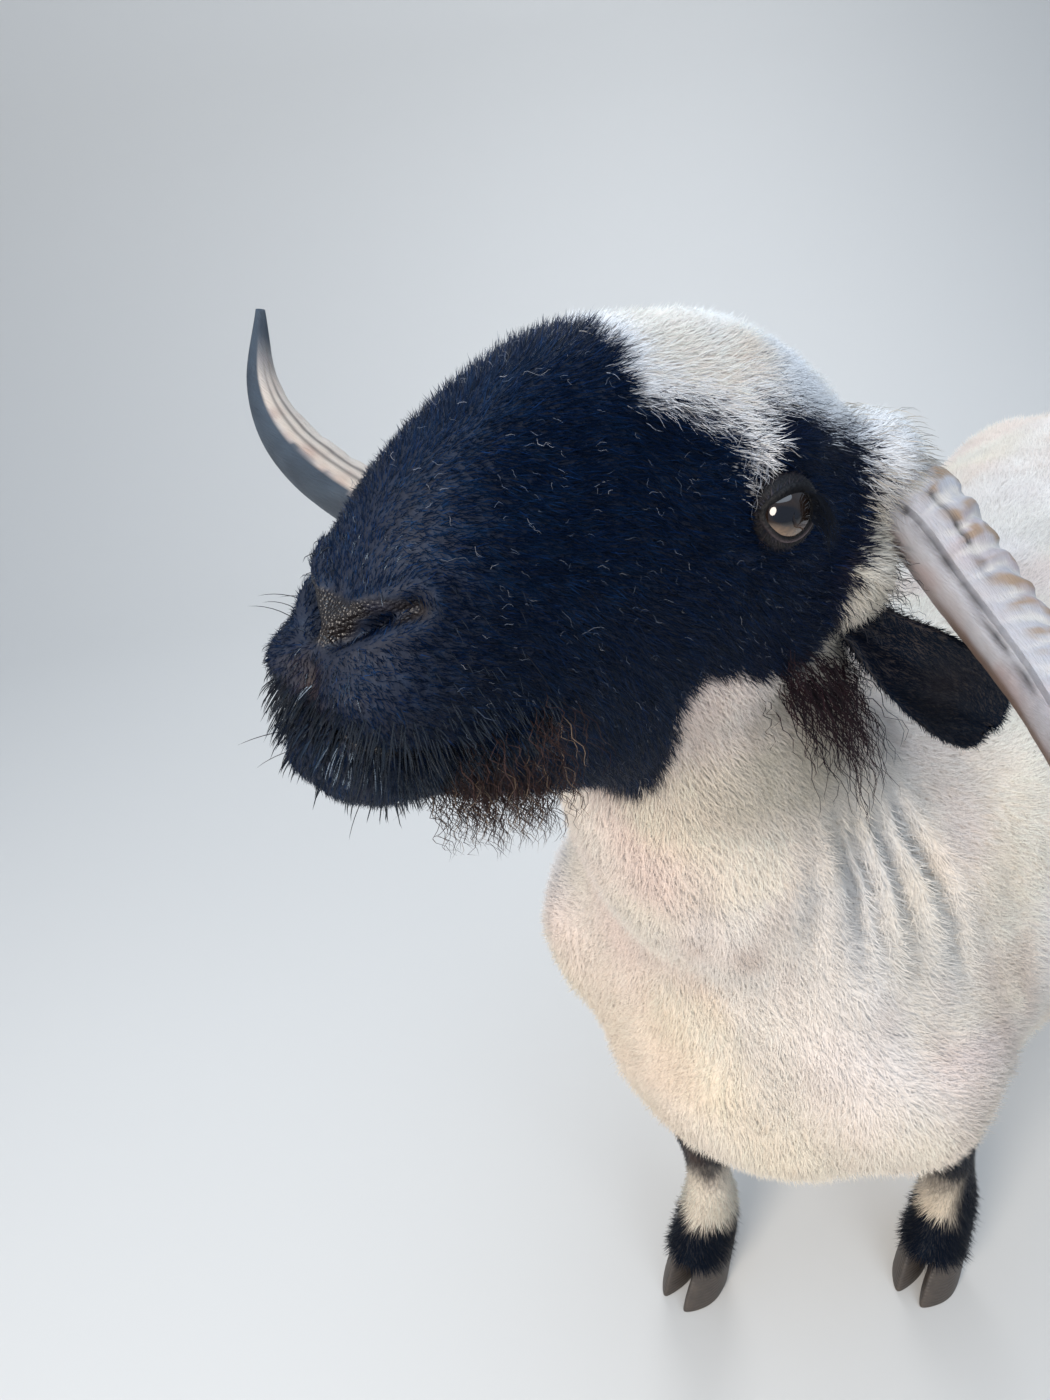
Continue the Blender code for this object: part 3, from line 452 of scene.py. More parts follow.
def carve(points, normals):
    """Draws the hide in by the coat's depth and presses in lips, nostrils, philtrum, sockets and folds."""
    local = in_head(points)
    folded = np.column_stack((np.abs(local[:, 0]), local[:, 1:]))
    inwards = hair_depth(points)
    gap, place = line_distance(folded, mouth_line)
    strength = 1.0 - ramp(place, 0.80, 1.0)
    inwards += (0.0062 * np.exp(-((gap / 0.0024) ** 2)) - 0.0016
        * np.exp(-(((gap - 0.0075) / 0.004) ** 2))) * strength
    gap, place = line_distance(folded, nostril_line)
    hollow = 0.0105 * np.exp(-((gap / 0.0036) ** 2)) * (0.65 + 0.35 * np.sin(place * np.pi))
    above = folded[:, 2] > -0.006 + (0.299 - folded[:, 1]) * 0.35
    wing = np.exp(-(((gap - 0.0085) / 0.0040) ** 2)) * np.where(above, 0.0030, 0.0016)
    inwards += hollow - wing
    gap, place = line_distance(folded, philtrum_line)
    inwards += 0.0030 * np.exp(-((gap / 0.0016) ** 2))
    gap = np.linalg.norm(folded - eye_centre, axis=1)
    socket = np.exp(-(((gap - 0.019) / 0.006) ** 2))
    inwards += 0.0022 * socket
    brow = np.exp(-(np.linalg.norm((folded - (0.058, 0.106, 0.062)) / (1.0, 2.6, 1.0), axis=1)
        / 0.011) ** 2)
    inwards -= 0.0030 * brow
    inwards += 0.0120 * fold_share(points) + lumps(points)
    return points - normals * inwards[:, None]


points, normals = vertex_arrays(skin.data)
skin.data.vertices.foreach_set("co", carve(points, normals).ravel())
skin.data.update()
settle_lips = skin.modifiers.new("settle", "SMOOTH")
settle_lips.factor = 0.4
settle_lips.iterations = 1
applied(skin)


# Markings: black face and eye patch, tan forehead, grey horn base, black ears, knees and feet.
# The same colours are worked out for the skin and for every tuft of the coat, from named outlines.

# forward and height in the head of the black of the face and of the eye patch
black_face = (
    (0.187, 0.130), (0.184, 0.099), (0.184, 0.086), (0.180, 0.079), (0.168, 0.077), (0.153, 0.0755),
    (0.1412, 0.0709), (0.1356, 0.0675), (0.1321, 0.0627), (0.1282, 0.0570), (0.1257, 0.0508),
        (0.1240, 0.0455),
    (0.1226, 0.0500), (0.1216, 0.0562), (0.1216, 0.0629), (0.1218, 0.0690), (0.1206, 0.0755),
        (0.1150, 0.0794),
    (0.0977, 0.0814), (0.0823, 0.0779), (0.0644, 0.0734), (0.0400, 0.0715), (0.0330, 0.0640),
        (0.0290, 0.0493),
    (0.0240, 0.0370), (0.0270, 0.0213), (0.0390, 0.0080), (0.0420, -0.0060),
    (0.030, -0.030), (0.040, -0.043), (0.063, -0.046), (0.083, -0.046), (0.107, -0.043), (0.124, -0.044),
    (0.130, -0.053), (0.128, -0.066), (0.113, -0.090), (0.108, -0.103), (0.104, -0.120), (0.106, -0.145),
    (0.130, -0.165), (0.200, -0.170), (0.340, -0.170), (0.340, 0.130),
)


def outline_depth(points, outline):
    """Signed distance to a closed outline in the plane, above zero inside it."""
    corners = np.array(outline)
    best = np.full(len(points), 9.0)
    inside = np.zeros(len(points), bool)
    for a, b in zip(corners, np.roll(corners, -1, axis=0)):
        t = np.clip(((points - a) @ (b - a)) / ((b - a) @ (b - a)), 0.0, 1.0)
        best = np.minimum(best, np.linalg.norm(points - (a + t[:, None] * (b - a)), axis=1))
        crosses = (a[1] > points[:, 1]) != (b[1] > points[:, 1])
        height = np.where(b[1] == a[1], 1.0, b[1] - a[1])
        inside ^= crosses & (points[:, 0] < (b[0] - a[0]) * (points[:, 1] - a[1]) / height + a[0])
    return np.where(inside, best, -best)


def blend(colours, other, share):
    return colours + (np.array(other) - colours) * share[:, None]


def coat_colours(points):
    """The coat's colour at points of the body, counted from the middle between the fore feet."""
    local = in_head(points)
    cream = blend(np.tile((0.900, 0.765, 0.610), (len(points), 1)), (0.860, 0.690, 0.610),
        ramp(mottle(points, 0.060), 0.35, 0.75))
    cream = blend(cream, (0.930, 0.860, 0.770), mottle(points, 0.045, 1) * 0.7)
    cream = blend(cream, (0.850, 0.800, 0.760), ramp(mottle(points, 0.085, 17), 0.40, 0.70) * 0.6)
    under = 1.0 - ramp(points[:, 2], 0.44, 0.56)
    cream = blend(cream, (0.90, 0.745, 0.520), under * 0.6 * (0.4 + 0.6 * mottle(points, 0.05, 12)))
    streaks = mottle(points * (1.0, 1.0, 0.35), 0.016, 13) * mottle(points, 0.06, 14)
    cream = blend(cream, (0.62, 0.50, 0.43), ramp(streaks, 0.25, 0.75) * 0.55)
    # painted shade: the coat is darkened in the folds of the throat and breast
    cream *= 1.0 - np.array((0.30, 0.25, 0.19)) * fold_share(points)[:, None]
    # painted shadow: a broad zone round the middle fold below the head is darkened and made greyer and bluer, the
    # head's shade under a blue sky
    gap, place = line_distance(np.column_stack((np.abs(points[:, 0]), points[:, 1:])), neck_folds[2])
    cream *= 1.0 - np.array((0.16, 0.10, 0.02)) * np.exp(-((gap / 0.045) ** 2))[:, None]
    head = ramp(local[:, 2], -0.150, -0.120) * ramp(local[:, 1], -0.03, 0.01)
    head *= ramp(points[:, 2], 0.74, 0.78)
    ragged = (mottle(points, 0.006, 2) - 0.5) * 0.007 + (mottle(points, 0.0025, 3) - 0.5) * 0.004
    # black and white hairs mingle in a grey band below the forehead and behind the eye
    mingled = 0.007 + 0.017 * ramp(local[:, 2], 0.030, 0.048) * (1.0 - ramp(local[:, 1], 0.160, 0.182))
    mingled += 0.008 * (1.0 - ramp(local[:, 1], 0.030, 0.060))
    ragged += (mottle(points, 0.0011, 21) - 0.5) * mingled
    inside = outline_depth(local[:, 1:], black_face) + ragged
    edge = np.exp(-((inside / 0.012) ** 2))
    brow = ramp(local[:, 2], 0.02, 0.06) * head
    forehead = blend(np.tile((0.98, 0.95, 0.95), (len(points), 1)), (0.98, 0.86, 0.77),
        ramp(mottle(points, 0.035, 19), 0.2, 0.7))
    middle = np.exp(-(((local[:, 1] - 0.118) / 0.022) ** 2)) * np.exp(-(((np.abs(local[:, 0]) - 0.036)
        / 0.020) ** 2))
    middle = np.maximum(middle, 0.55 * np.exp(-(((local[:, 1] - 0.145) / 0.030) ** 2))
        * (local[:, 2] > 0.06))
    forehead = blend(forehead, (0.80, 0.59, 0.41), middle * (0.35 + 0.65 * mottle(points, 0.02, 4)) * 0.85)
    forehead = blend(forehead, (0.88, 0.92, 0.98), edge * 0.6)
    colours = cream + (forehead - cream) * brow[:, None]
    temple = head * (1.0 - brow) * (1.0 - ramp(local[:, 1], 0.06, 0.10))
    colours = blend(colours, (0.56, 0.51, 0.41), temple * (0.45 + 0.5 * mottle(points, 0.012, 22)))
    black = head * ramp(inside, -0.0022, 0.0022)
    rust = mottle(points, 0.012, 5) * np.exp(-((inside / 0.010) ** 2)) * (1.0
        - ramp(local[:, 1], 0.10, 0.14))
    # painted reflection: the black hair is painted navy blue for the blue sky it reflects; the rust brown near the
    # edge of the black is its own colour
    dark = blend(np.tile((0.0012, 0.0056, 0.0215), (len(points), 1)), (0.030, 0.018, 0.014), rust * 0.8)
    # painted sheen: patches of the black are painted a lighter blue, standing in for hair that catches the light
    painted_sheen_clumps = ramp(mottle(points, 0.0035, 23), 0.45, 0.80) * mottle(points, 0.02, 6)
    dark = blend(dark, (0.0044, 0.0160, 0.0450), painted_sheen_clumps)
    lip = np.exp(-(((local[:, 2] + 0.040) / 0.012) ** 2)) * np.exp(-((local[:, 0]
        / 0.012) ** 2)) * ramp(local[:, 1], 0.27, 0.29)
    dark = blend(dark, (0.040, 0.024, 0.018), lip * mottle(points, 0.004, 15))
    colours += (dark - colours) * black[:, None]
    return leg_colours(points, colours)


def leg_colours(points, colours):
    """Black knees, hocks and feet on cream legs; the left fore leg is black down its outer side."""
    fore = (points[:, 1] < 0.30) & (points[:, 2] < 0.40)
    left = points[:, 0] > 0
    noise = (mottle(points, 0.010, 7) - 0.5) * 0.016
    z = points[:, 2] + noise
    x = np.abs(points[:, 0])
    step = np.where(left, 1.0, -1.0)
    front = np.where(fore, 0.010 + 0.077 * step * 0.95, 0.640 + 0.035 * step) - points[:, 1]
    knee = np.exp(-(((z - 0.205) / 0.052) ** 4)) * ramp(front, -0.010, 0.006)
    knee = np.where(left, np.exp(-(((z - 0.180) / 0.062) ** 4)) * ramp(front, -0.012, 0.004), knee)
    outer = ramp(x, 0.098, 0.112) * left * ramp(0.26 - z, 0.0, 0.03)
    foot = 1.0 - ramp(z, 0.088, 0.102)
    fore_black = np.maximum(np.maximum(knee, outer), foot)
    hock = np.exp(-(((z - 0.270) / 0.050) ** 4)) * (1.0 - ramp(front, -0.010, 0.012))
    hind_black = np.maximum(hock, foot)
    black = np.where(fore, fore_black, hind_black) * (points[:, 2] < 0.42)
    black *= 1.0 - ramp(points[:, 1], 0.715, 0.735)
    brown = np.exp(-(((z - 0.195) / 0.022) ** 2)) * np.exp(-(((x - 0.088) / 0.011) ** 2)) * fore * ~left
    dark = blend(np.tile((0.003, 0.004, 0.009), (len(points), 1)), (0.070, 0.040, 0.026), brown * 0.8)
    return colours + (dark - colours) * black[:, None]


def bare_share(points):
    """Where the hide has no hair: the pad of the nose, the rims of the lips and of the eyes."""
    local = in_head(points)
    folded = np.column_stack((np.abs(local[:, 0]), local[:, 1:]))
    pad = 1.0 - ramp(np.linalg.norm((folded - (0.004, 0.299, -0.012)) / (1.25, 1.0, 1.0), axis=1),
        0.008, 0.013)
    gap, place = line_distance(folded, nostril_line)
    pad = np.maximum(pad, 1.0 - ramp(gap, 0.0030, 0.0050))
    gap, place = line_distance(folded, wing_line)
    pad = np.maximum(pad, 1.0 - ramp(gap, 0.0035, 0.0055))
    gap, place = line_distance(folded, mouth_line)
    pad = np.maximum(pad, 1.0 - ramp(gap, 0.0015, 0.0030))
    gap = np.linalg.norm(folded - eye_centre, axis=1)
    return np.maximum(pad, 1.0 - ramp(gap, 0.0150, 0.0170))


def paint(made, colours, name="coat"):
    layer = made.data.color_attributes.new(name, "FLOAT_COLOR", "POINT")
    layer.data.foreach_set("color", np.column_stack((colours, np.ones(len(colours)))).ravel())


points, normals = vertex_arrays(skin.data)
bare = bare_share(points)
skin_colours = coat_colours(points) * 0.92
nose_colours = blend(np.tile((0.008, 0.007, 0.009), (len(points), 1)), (0.018, 0.013, 0.011),
    mottle(points, 0.008, 8))
# painted reflection: the smooth wet wings above the nostrils are tinted blue-grey
gap, place = line_distance(np.column_stack((np.abs(in_head(points)[:, 0]), in_head(points)[:, 1:])),
    wing_line)
nose_colours = blend(nose_colours, (0.024, 0.030, 0.058), np.exp(-((gap / 0.0030) ** 2))
    * ramp(place, 0.15, 0.40))
skin_colours += (nose_colours - skin_colours) * bare[:, None]
paint(skin, skin_colours)
# pebbled over the pad and its lower rims, smooth on the wings above the nostrils
local = in_head(points)
gap, place = line_distance(np.column_stack((np.abs(local[:, 0]), local[:, 1:])), wing_line)
pebbly = bare * (1.0 - np.exp(-((gap / 0.0034) ** 2)) * ramp(np.abs(local[:, 0]), 0.016, 0.026))
pebbly *= 1.0 - ramp(np.abs(local[:, 0]), 0.030, 0.034)
paint(skin, np.repeat(pebbly[:, None], 3, axis=1), "bare")


def shader_group(name, inputs, outputs):
    """An empty node group with the given sockets, for an effect that several finishes share."""
    group = bpy.data.node_groups.new(name, "ShaderNodeTree")
    for label, kind, start in inputs:
        socket = group.interface.new_socket(label, in_out="INPUT", socket_type=kind)
        if start is not None:
            socket.default_value = start
    for label, kind in outputs:
        group.interface.new_socket(label, in_out="OUTPUT", socket_type=kind)
    group.nodes.new("NodeGroupInput").location = (-900, 0)
    group.nodes.new("NodeGroupOutput").location = (400, 0)
    return group


def hair_shade_group():
    """Small uneven lights and darks along and between hairs, laid over a given colour."""
    group = shader_group(
        "HairShade",
        (("Colour", "NodeSocketColor", None), ("Scale", "NodeSocketFloat", 300.0),
            ("Depth", "NodeSocketFloat", 0.3)),
        (("Colour", "NodeSocketColor"), ("Height", "NodeSocketFloat"), ("Rough", "NodeSocketFloat")),
    )
    nodes, links = group.nodes, group.links
    entry = next(n for n in nodes if n.type == "GROUP_INPUT")
    leave = next(n for n in nodes if n.type == "GROUP_OUTPUT")
    place = nodes.new("ShaderNodeTexCoord")
    fine = nodes.new("ShaderNodeTexNoise")
    fine.inputs["Detail"].default_value = 5.0
    broad = nodes.new("ShaderNodeTexNoise")
    broad.inputs["Scale"].default_value = 22.0
    broad.inputs["Detail"].default_value = 3.0
    links.new(place.outputs["Object"], fine.inputs["Vector"])
    links.new(place.outputs["Object"], broad.inputs["Vector"])
    links.new(entry.outputs["Scale"], fine.inputs["Scale"])
    mixed = nodes.new("ShaderNodeMath")
    mixed.operation = "ADD"
    links.new(fine.outputs["Fac"], mixed.inputs[0])
    links.new(broad.outputs["Fac"], mixed.inputs[1])
    spread = nodes.new("ShaderNodeMapRange")
    spread.inputs["From Min"].default_value = 0.7
    spread.inputs["From Max"].default_value = 1.3
    links.new(mixed.outputs[0], spread.inputs["Value"])
    dark = nodes.new("ShaderNodeMix")
    dark.data_type = "RGBA"
    dark.blend_type = "MULTIPLY"
    dark.inputs[7].default_value = (0.45, 0.43, 0.42, 1.0)
    amount = nodes.new("ShaderNodeMath")
    amount.operation = "MULTIPLY"
    links.new(spread.outputs["Result"], amount.inputs[0])
    links.new(entry.outputs["Depth"], amount.inputs[1])
    links.new(amount.outputs[0], dark.inputs[0])
    links.new(entry.outputs["Colour"], dark.inputs[6])
    links.new(dark.outputs[2], leave.inputs["Colour"])
    links.new(fine.outputs["Fac"], leave.inputs["Height"])
    links.new(spread.outputs["Result"], leave.inputs["Rough"])
    return group


hair_shade = hair_shade_group()


def hair_finish(name, roughness, scale, depth, bump, sheen=0.0, tint=(1.0, 1.0, 1.0), specular=0.5):
    """A finish that takes its colour from the painted coat and varies it hair by hair."""
    finish = bpy.data.materials.new(name)
    finish.use_nodes = True
    nodes, links = finish.node_tree.nodes, finish.node_tree.links
    shader = nodes["Principled BSDF"]
    painted = nodes.new("ShaderNodeAttribute")
    painted.attribute_name = "coat"
    shade = nodes.new("ShaderNodeGroup")
    shade.node_tree = hair_shade
    shade.inputs["Scale"].default_value = scale
    shade.inputs["Depth"].default_value = depth
    rough = nodes.new("ShaderNodeMapRange")
    rough.inputs["To Min"].default_value = roughness - 0.07
    rough.inputs["To Max"].default_value = roughness + 0.07
    raised = nodes.new("ShaderNodeBump")
    raised.inputs["Strength"].default_value = bump
    raised.inputs["Distance"].default_value = 0.002
    links.new(painted.outputs["Color"], shade.inputs["Colour"])
    links.new(shade.outputs["Colour"], shader.inputs["Base Color"])
    links.new(shade.outputs["Rough"], rough.inputs["Value"])
    links.new(rough.outputs["Result"], shader.inputs["Roughness"])
    links.new(shade.outputs["Height"], raised.inputs["Height"])
    links.new(raised.outputs["Normal"], shader.inputs["Normal"])
    shader.inputs["Sheen Weight"].default_value = sheen
    shader.inputs["Sheen Roughness"].default_value = 0.4
    shader.inputs["Sheen Tint"].default_value = (*tint, 1.0)
    shader.inputs["Specular IOR Level"].default_value = specular
    shader.inputs["Specular Tint"].default_value = (*tint, 1.0)
    return finish


def hide_finish():
    """The hide under the hair: matt where the coat covers it, pebbled and moist on the nose and lips."""
    finish = hair_finish("hide", 0.72, 420.0, 0.35, 0.35)
    nodes, links = finish.node_tree.nodes, finish.node_tree.links
    shader = nodes["Principled BSDF"]
    bare_part = nodes.new("ShaderNodeAttribute")
    bare_part.attribute_name = "bare"
    place = nodes.new("ShaderNodeTexCoord")
    pebbles = nodes.new("ShaderNodeTexVoronoi")
    pebbles.inputs["Scale"].default_value = 620.0
    links.new(place.outputs["Object"], pebbles.inputs["Vector"])
    wet = nodes.new("ShaderNodeMix")
    wet.inputs[3].default_value = 0.30
    links.new(bare_part.outputs["Fac"], wet.inputs[0])
    old = shader.inputs["Roughness"].links[0].from_socket
    links.new(old, wet.inputs[2])
    links.new(wet.outputs[0], shader.inputs["Roughness"])
    grain = nodes.new("ShaderNodeMath")
    grain.operation = "MULTIPLY"
    links.new(pebbles.outputs["Distance"], grain.inputs[0])
    links.new(bare_part.outputs["Fac"], grain.inputs[1])
    pebbled = nodes.new("ShaderNodeBump")
    pebbled.invert = True
    pebbled.inputs["Strength"].default_value = 0.9
    pebbled.inputs["Distance"].default_value = 0.0012
    links.new(grain.outputs[0], pebbled.inputs["Height"])
    links.new(shader.inputs["Normal"].links[0].from_socket, pebbled.inputs["Normal"])
    links.new(pebbled.outputs["Normal"], shader.inputs["Normal"])
    return finish


def finished(made, finish, slot, *nodes):
    """Puts the piece where the animal stands, on its body, with its finish and the solids it stands for."""
    made.data.transform(Matrix.Translation(stand))
    made.data.materials.clear()
    made.data.materials.append(finish)
    made.data.shade_smooth()
    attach(made, "root")
    if nodes:
        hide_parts(*nodes)
    return made


# the coats take their roots from the skin before it is moved to its place
root_mesh = skin.data.copy()
finished(
    skin, hide_finish(), "fleece",
    "head", "neck", "torso", "tail", "foreleg_left", "foreleg_right", "hindleg_left", "hindleg_right",
)

# Coat: short hair in fine tapered tufts, rooted all over the hide and lying along the body.
# Plush black hair on the face, finest on the muzzle, a shorn woolly fleece on the body, sleek hair on the legs.
# Every tuft carries the colour that the markings give at its root.

draw = np.random.default_rng(11)


def same(count, value):
    return np.full(count, float(value))


def unit(vectors):
    return vectors / np.maximum(np.linalg.norm(vectors, axis=1, keepdims=True), 1e-9)


def scatter(mesh, density, keep):
    """Random roots over the faces: places, normals and how many there are for each square metre."""
    mesh.calc_loop_triangles()
    count = len(mesh.loop_triangles)
    corners = np.empty(count * 3, np.int32)
    mesh.loop_triangles.foreach_get("vertices", corners)
    corners = corners.reshape(-1, 3)
    points, normals = vertex_arrays(mesh)
    middle = points[corners].mean(axis=1)
    chosen = keep(middle)
    corners, middle = corners[chosen], middle[chosen]
    a, b, c = (points[corners[:, k]] for k in range(3))
    area = np.linalg.norm(np.cross(b - a, c - a), axis=1) * 0.5
    wanted = area * density(middle)
    number = (np.floor(wanted) + (draw.random(len(wanted)) < wanted % 1.0)).astype(int)
    face = np.repeat(np.arange(len(number)), number)
    u, v = draw.random(len(face)), draw.random(len(face))
    over = u + v > 1.0
    u, v = np.where(over, 1.0 - u, u), np.where(over, 1.0 - v, v)
    w = 1.0 - u - v
    picked = corners[face]
    places = sum(points[picked[:, k]] * s[:, None] for k, s in enumerate((w, u, v)))
    facing = unit(sum(normals[picked[:, k]] * s[:, None] for k, s in enumerate((w, u, v))))
    return places, facing


def unwrap_place(places, facing):
    """Each root's place on six flat views of the hide, set side by side on one sheet."""
    low, high = places.min(axis=0), places.max(axis=0)
    share = (places - low) / np.maximum(high - low, 1e-6)
    axis = np.abs(facing).argmax(axis=1)
    side = (facing[np.arange(len(facing)), axis] > 0).astype(int)
    flat = np.array(((1, 2), (0, 2), (0, 1)))[axis]
    rows = np.arange(len(places))
    across, up = share[rows, flat[:, 0]], share[rows, flat[:, 1]]
    return np.column_stack(((axis + 0.03 + 0.94 * across) / 3.0, (side + 0.03 + 0.94 * up) / 2.0))


def woven(name, places, facing, rings, shades, colours, finish, slot, bends, soft=0.7, uneven=0.18):
    """Joins tufts given ring by ring into pieces of fewer than 200,000 triangles, with colours and a sheet of places."""
    count = len(places)
    per = len(rings)
    vertices = np.stack([r[0] for r in rings], axis=1)
    arms = np.stack([r[1] for r in rings], axis=1)
    normals = unit((facing[:, None, :] * soft + arms * (1.0 - soft)).reshape(-1, 3))
    faces = []
    for k in range(bends):
        for corner in range(3):
            a, b = 3 * k + corner, 3 * k + (corner + 1) % 3
            faces += [(a, b, b + 3), (a, b + 3, a + 3)]
    last = 3 * bends
    faces += [(last + corner, last + (corner + 1) % 3, per - 1) for corner in range(3)]
    faces = np.array(faces)
    # painted shade along each tuft, darker at the root and lighter at the tip, times a random tone for each tuft
    shade = np.array(shades)
    painted = np.clip(colours[:, None, :] * shade[None, :, None]
        * draw.uniform(1.0 - uneven, 1.0 + uneven, (count, 1, 1)), 0.0, 1.0)
    sheet = unwrap_place(places, facing)
    spread = np.column_stack((np.cos(np.arange(per) * 2.0944), np.linspace(-1.0, 1.0, per))) * 0.0015
    limit = 190000 // len(faces)
    pieces = math.ceil(count / limit)
    order = np.argsort(places[:, 1] + places[:, 2] * 0.3)
    for part in range(pieces):
        rows = order[part * count // pieces : (part + 1) * count // pieces]
        label = name if pieces == 1 else f"{name}_{part + 1}"
        mesh = bpy.data.meshes.new(label)
        number = len(rows)
        mesh.vertices.add(number * per)
        mesh.vertices.foreach_set("co", vertices[rows].ravel())
        corners = (faces[None, :, :] + (np.arange(number) * per)[:, None, None]).reshape(-1)
        mesh.loops.add(len(corners))
        mesh.loops.foreach_set("vertex_index", corners)
        mesh.polygons.add(len(corners) // 3)
        mesh.polygons.foreach_set("loop_start", np.arange(0, len(corners), 3))
        mesh.update(calc_edges=True)
        layer = mesh.color_attributes.new("coat", "FLOAT_COLOR", "POINT")
        flat_colours = painted[rows].reshape(-1, 3)
        layer.data.foreach_set("color", np.column_stack((flat_colours, np.ones(len(flat_colours)))).ravel())
        sheet_layer = mesh.uv_layers.new(name="OFBake")
        spots = (sheet[rows][:, None, :] + spread[None, :, :]).reshape(-1, 2)
        sheet_layer.data.foreach_set("uv", spots[corners].ravel())
        made = bpy.data.objects.new(label, mesh)
        bpy.context.scene.collection.objects.link(made)
        finished(made, finish, slot)
        mesh.normals_split_custom_set_from_vertices(normals.reshape(count, per, 3)[rows].reshape(-1, 3))


def tufts(name, places, facing, lie, length, width, lift, colours, finish, slot, droop=0.5, curl=0.0,
    bends=1, dark=0.6, stray=1.2,
          soft=0.7, uneven=0.18):
    """Joined tapered tufts of three sides. Lift is the share that stands up, droop how far the tip lies over, dark
    how much painted shade darkens the root; the tip is painted lighter.
    """
    count = len(places)
    flat = unit(lie - facing * np.sum(lie * facing, axis=1, keepdims=True))
    across = np.cross(facing, flat)
    wobble = draw.normal(0.0, 0.22, (count, 2))
    heading = unit(flat + across * wobble[:, :1] * stray)
    sideways = np.cross(facing, heading)
    rise = np.clip(lift + wobble[:, 1] * 0.5, 0.05, 0.98)[:, None]
    size = length * draw.uniform(0.75, 1.2, count)
    spot = places - facing * 0.0006
    rings, painted_spine_shade = [], []
    turn = draw.uniform(0.0, 2 * np.pi, count)
    wave = draw.uniform(-1.0, 1.0, count) * curl
    for k in range(bends + 1):
        share = k / (bends + 1)
        stand_up = rise * (1.0 - droop * share)
        along = unit(facing * stand_up + heading * np.sqrt(1.0 - np.minimum(stand_up, 1.0) ** 2))
        thick = (width * 0.5 * (1.0 - 0.55 * share))[:, None]
        side_a, side_b = sideways, np.cross(along, sideways)
        for corner in range(3):
            angle = (turn + corner * 2.0944)[:, None]
            arm = side_a * np.cos(angle) + side_b * np.sin(angle) * 0.7
            rings.append((spot + arm * thick, arm))
        # painted shade: each tuft is darker towards its root
        painted_spine_shade += [1.0 - dark * (1.0 - share)] * 3
        step = (size / (bends + 1))[:, None]
        spot = spot + along * step + sideways * (wave * np.sin(k * 2.1 + turn))[:, None] * step
    rings.append((spot, along))
    # painted light: the tip of each tuft is painted lighter
    painted_spine_shade.append(1.18)
    woven(name, places, facing, rings, painted_spine_shade, colours, finish, slot, bends, soft, uneven)


def body_lie(points, facing):
    """Which way the hair lies: back over the face, down the cheeks, lips, neck and legs, back along the trunk."""
    local = in_head(points)
    head = (ramp(local[:, 2], -0.150, -0.110) * ramp(local[:, 1], -0.03, 0.0))[:, None]
    chin = ramp(local[:, 1], 0.20, 0.27) * (1.0 - ramp(local[:, 2], -0.075, -0.045))
    front = ramp(local[:, 1], 0.275, 0.296)
    downwards = 0.35 + 1.0 * chin + 0.5 * (1.0 - ramp(local[:, 2], -0.08, 0.0))
    face = np.column_stack((np.sign(local[:, 0]) * 0.25 * front, 1.0 - 1.1 * chin - 0.6 * front,
        -downwards))
    face[:, 2] += 1.3 * front * ramp(local[:, 2], -0.02, 0.0)
    turned = face @ np.array(head_axes.to_3x3()).T
    neck = ramp(points[:, 2], 0.60, 0.72) * (1.0 - ramp(points[:, 1], -0.05, 0.10))
    leg = 1.0 - ramp(points[:, 2], 0.36, 0.44)
    body = np.column_stack((np.zeros(len(points)), 1.0 - 0.55 * neck - 0.8 * leg, -0.55 - 0.8 * neck
        - 1.2 * leg))
    swirl = (mottle(points, 0.030, 9) - 0.5) * 0.9
    lie = body * (1.0 - head) + turned * head
    return lie + np.cross(facing, lie) * swirl[:, None]


def is_face(points):
    local = in_head(points)
    return (local[:, 1] > -0.015) & (local[:, 2] > -0.150) & (points[:, 2] > 0.745)


def is_leg(points):
    return (points[:, 2] < 0.375) & (points[:, 1] < 0.715)


plush = hair_finish("plush", 0.38, 900.0, 0.25, 0.2, 0.0, (0.34, 0.60, 1.0), 0.20)
wool = hair_finish("wool", 0.88, 500.0, 0.30, 0.3, 0.30, (1.0, 0.93, 0.85), 0.25)


def face_density(points):
    local = in_head(points)
    crown = ramp(local[:, 2], 0.05, 0.075) * (1.0 - ramp(local[:, 1], 0.17, 0.20))
    return 450000.0 + 250000.0 * ramp(local[:, 1], 0.19, 0.27) + 520000.0 * crown


places, facing = scatter(root_mesh, face_density, is_face)
keep = draw.random(len(places)) > bare_share(places) * 1.2
places, facing = places[keep], facing[keep]
local = in_head(places)
muzzle = ramp(local[:, 1], 0.215, 0.290)
crown = ramp(local[:, 2], 0.05, 0.09) * (1.0 - ramp(local[:, 1], 0.11, 0.18))
forehead = ramp(local[:, 2], 0.05, 0.075) * (1.0 - ramp(local[:, 1], 0.17, 0.20))
lengths = 0.0092 - 0.0045 * muzzle + 0.0012 * crown
# among the black hairs some tufts are painted brighter and bluer, a painted sheen, and others stay deep black
hair_tones = coat_colours(places)
black_hair = 1.0 - ramp(hair_tones.mean(axis=1), 0.05, 0.30)
hair_tones *= np.exp(draw.normal(-0.10, 0.50, len(places)) * black_hair)[:, None]
tufts(
    "face_coat", places, facing, body_lie(places, facing), lengths, 0.00085 - 0.00020 * muzzle - 0.00025
        * forehead,
    0.60 - 0.20 * muzzle - 0.16 * forehead, hair_tones, plush, "face_coat", droop=0.25, bends=0,
        dark=0.22, stray=1.8,
    soft=(0.82 - 0.42 * black_hair)[:, None, None], uneven=0.09,
)

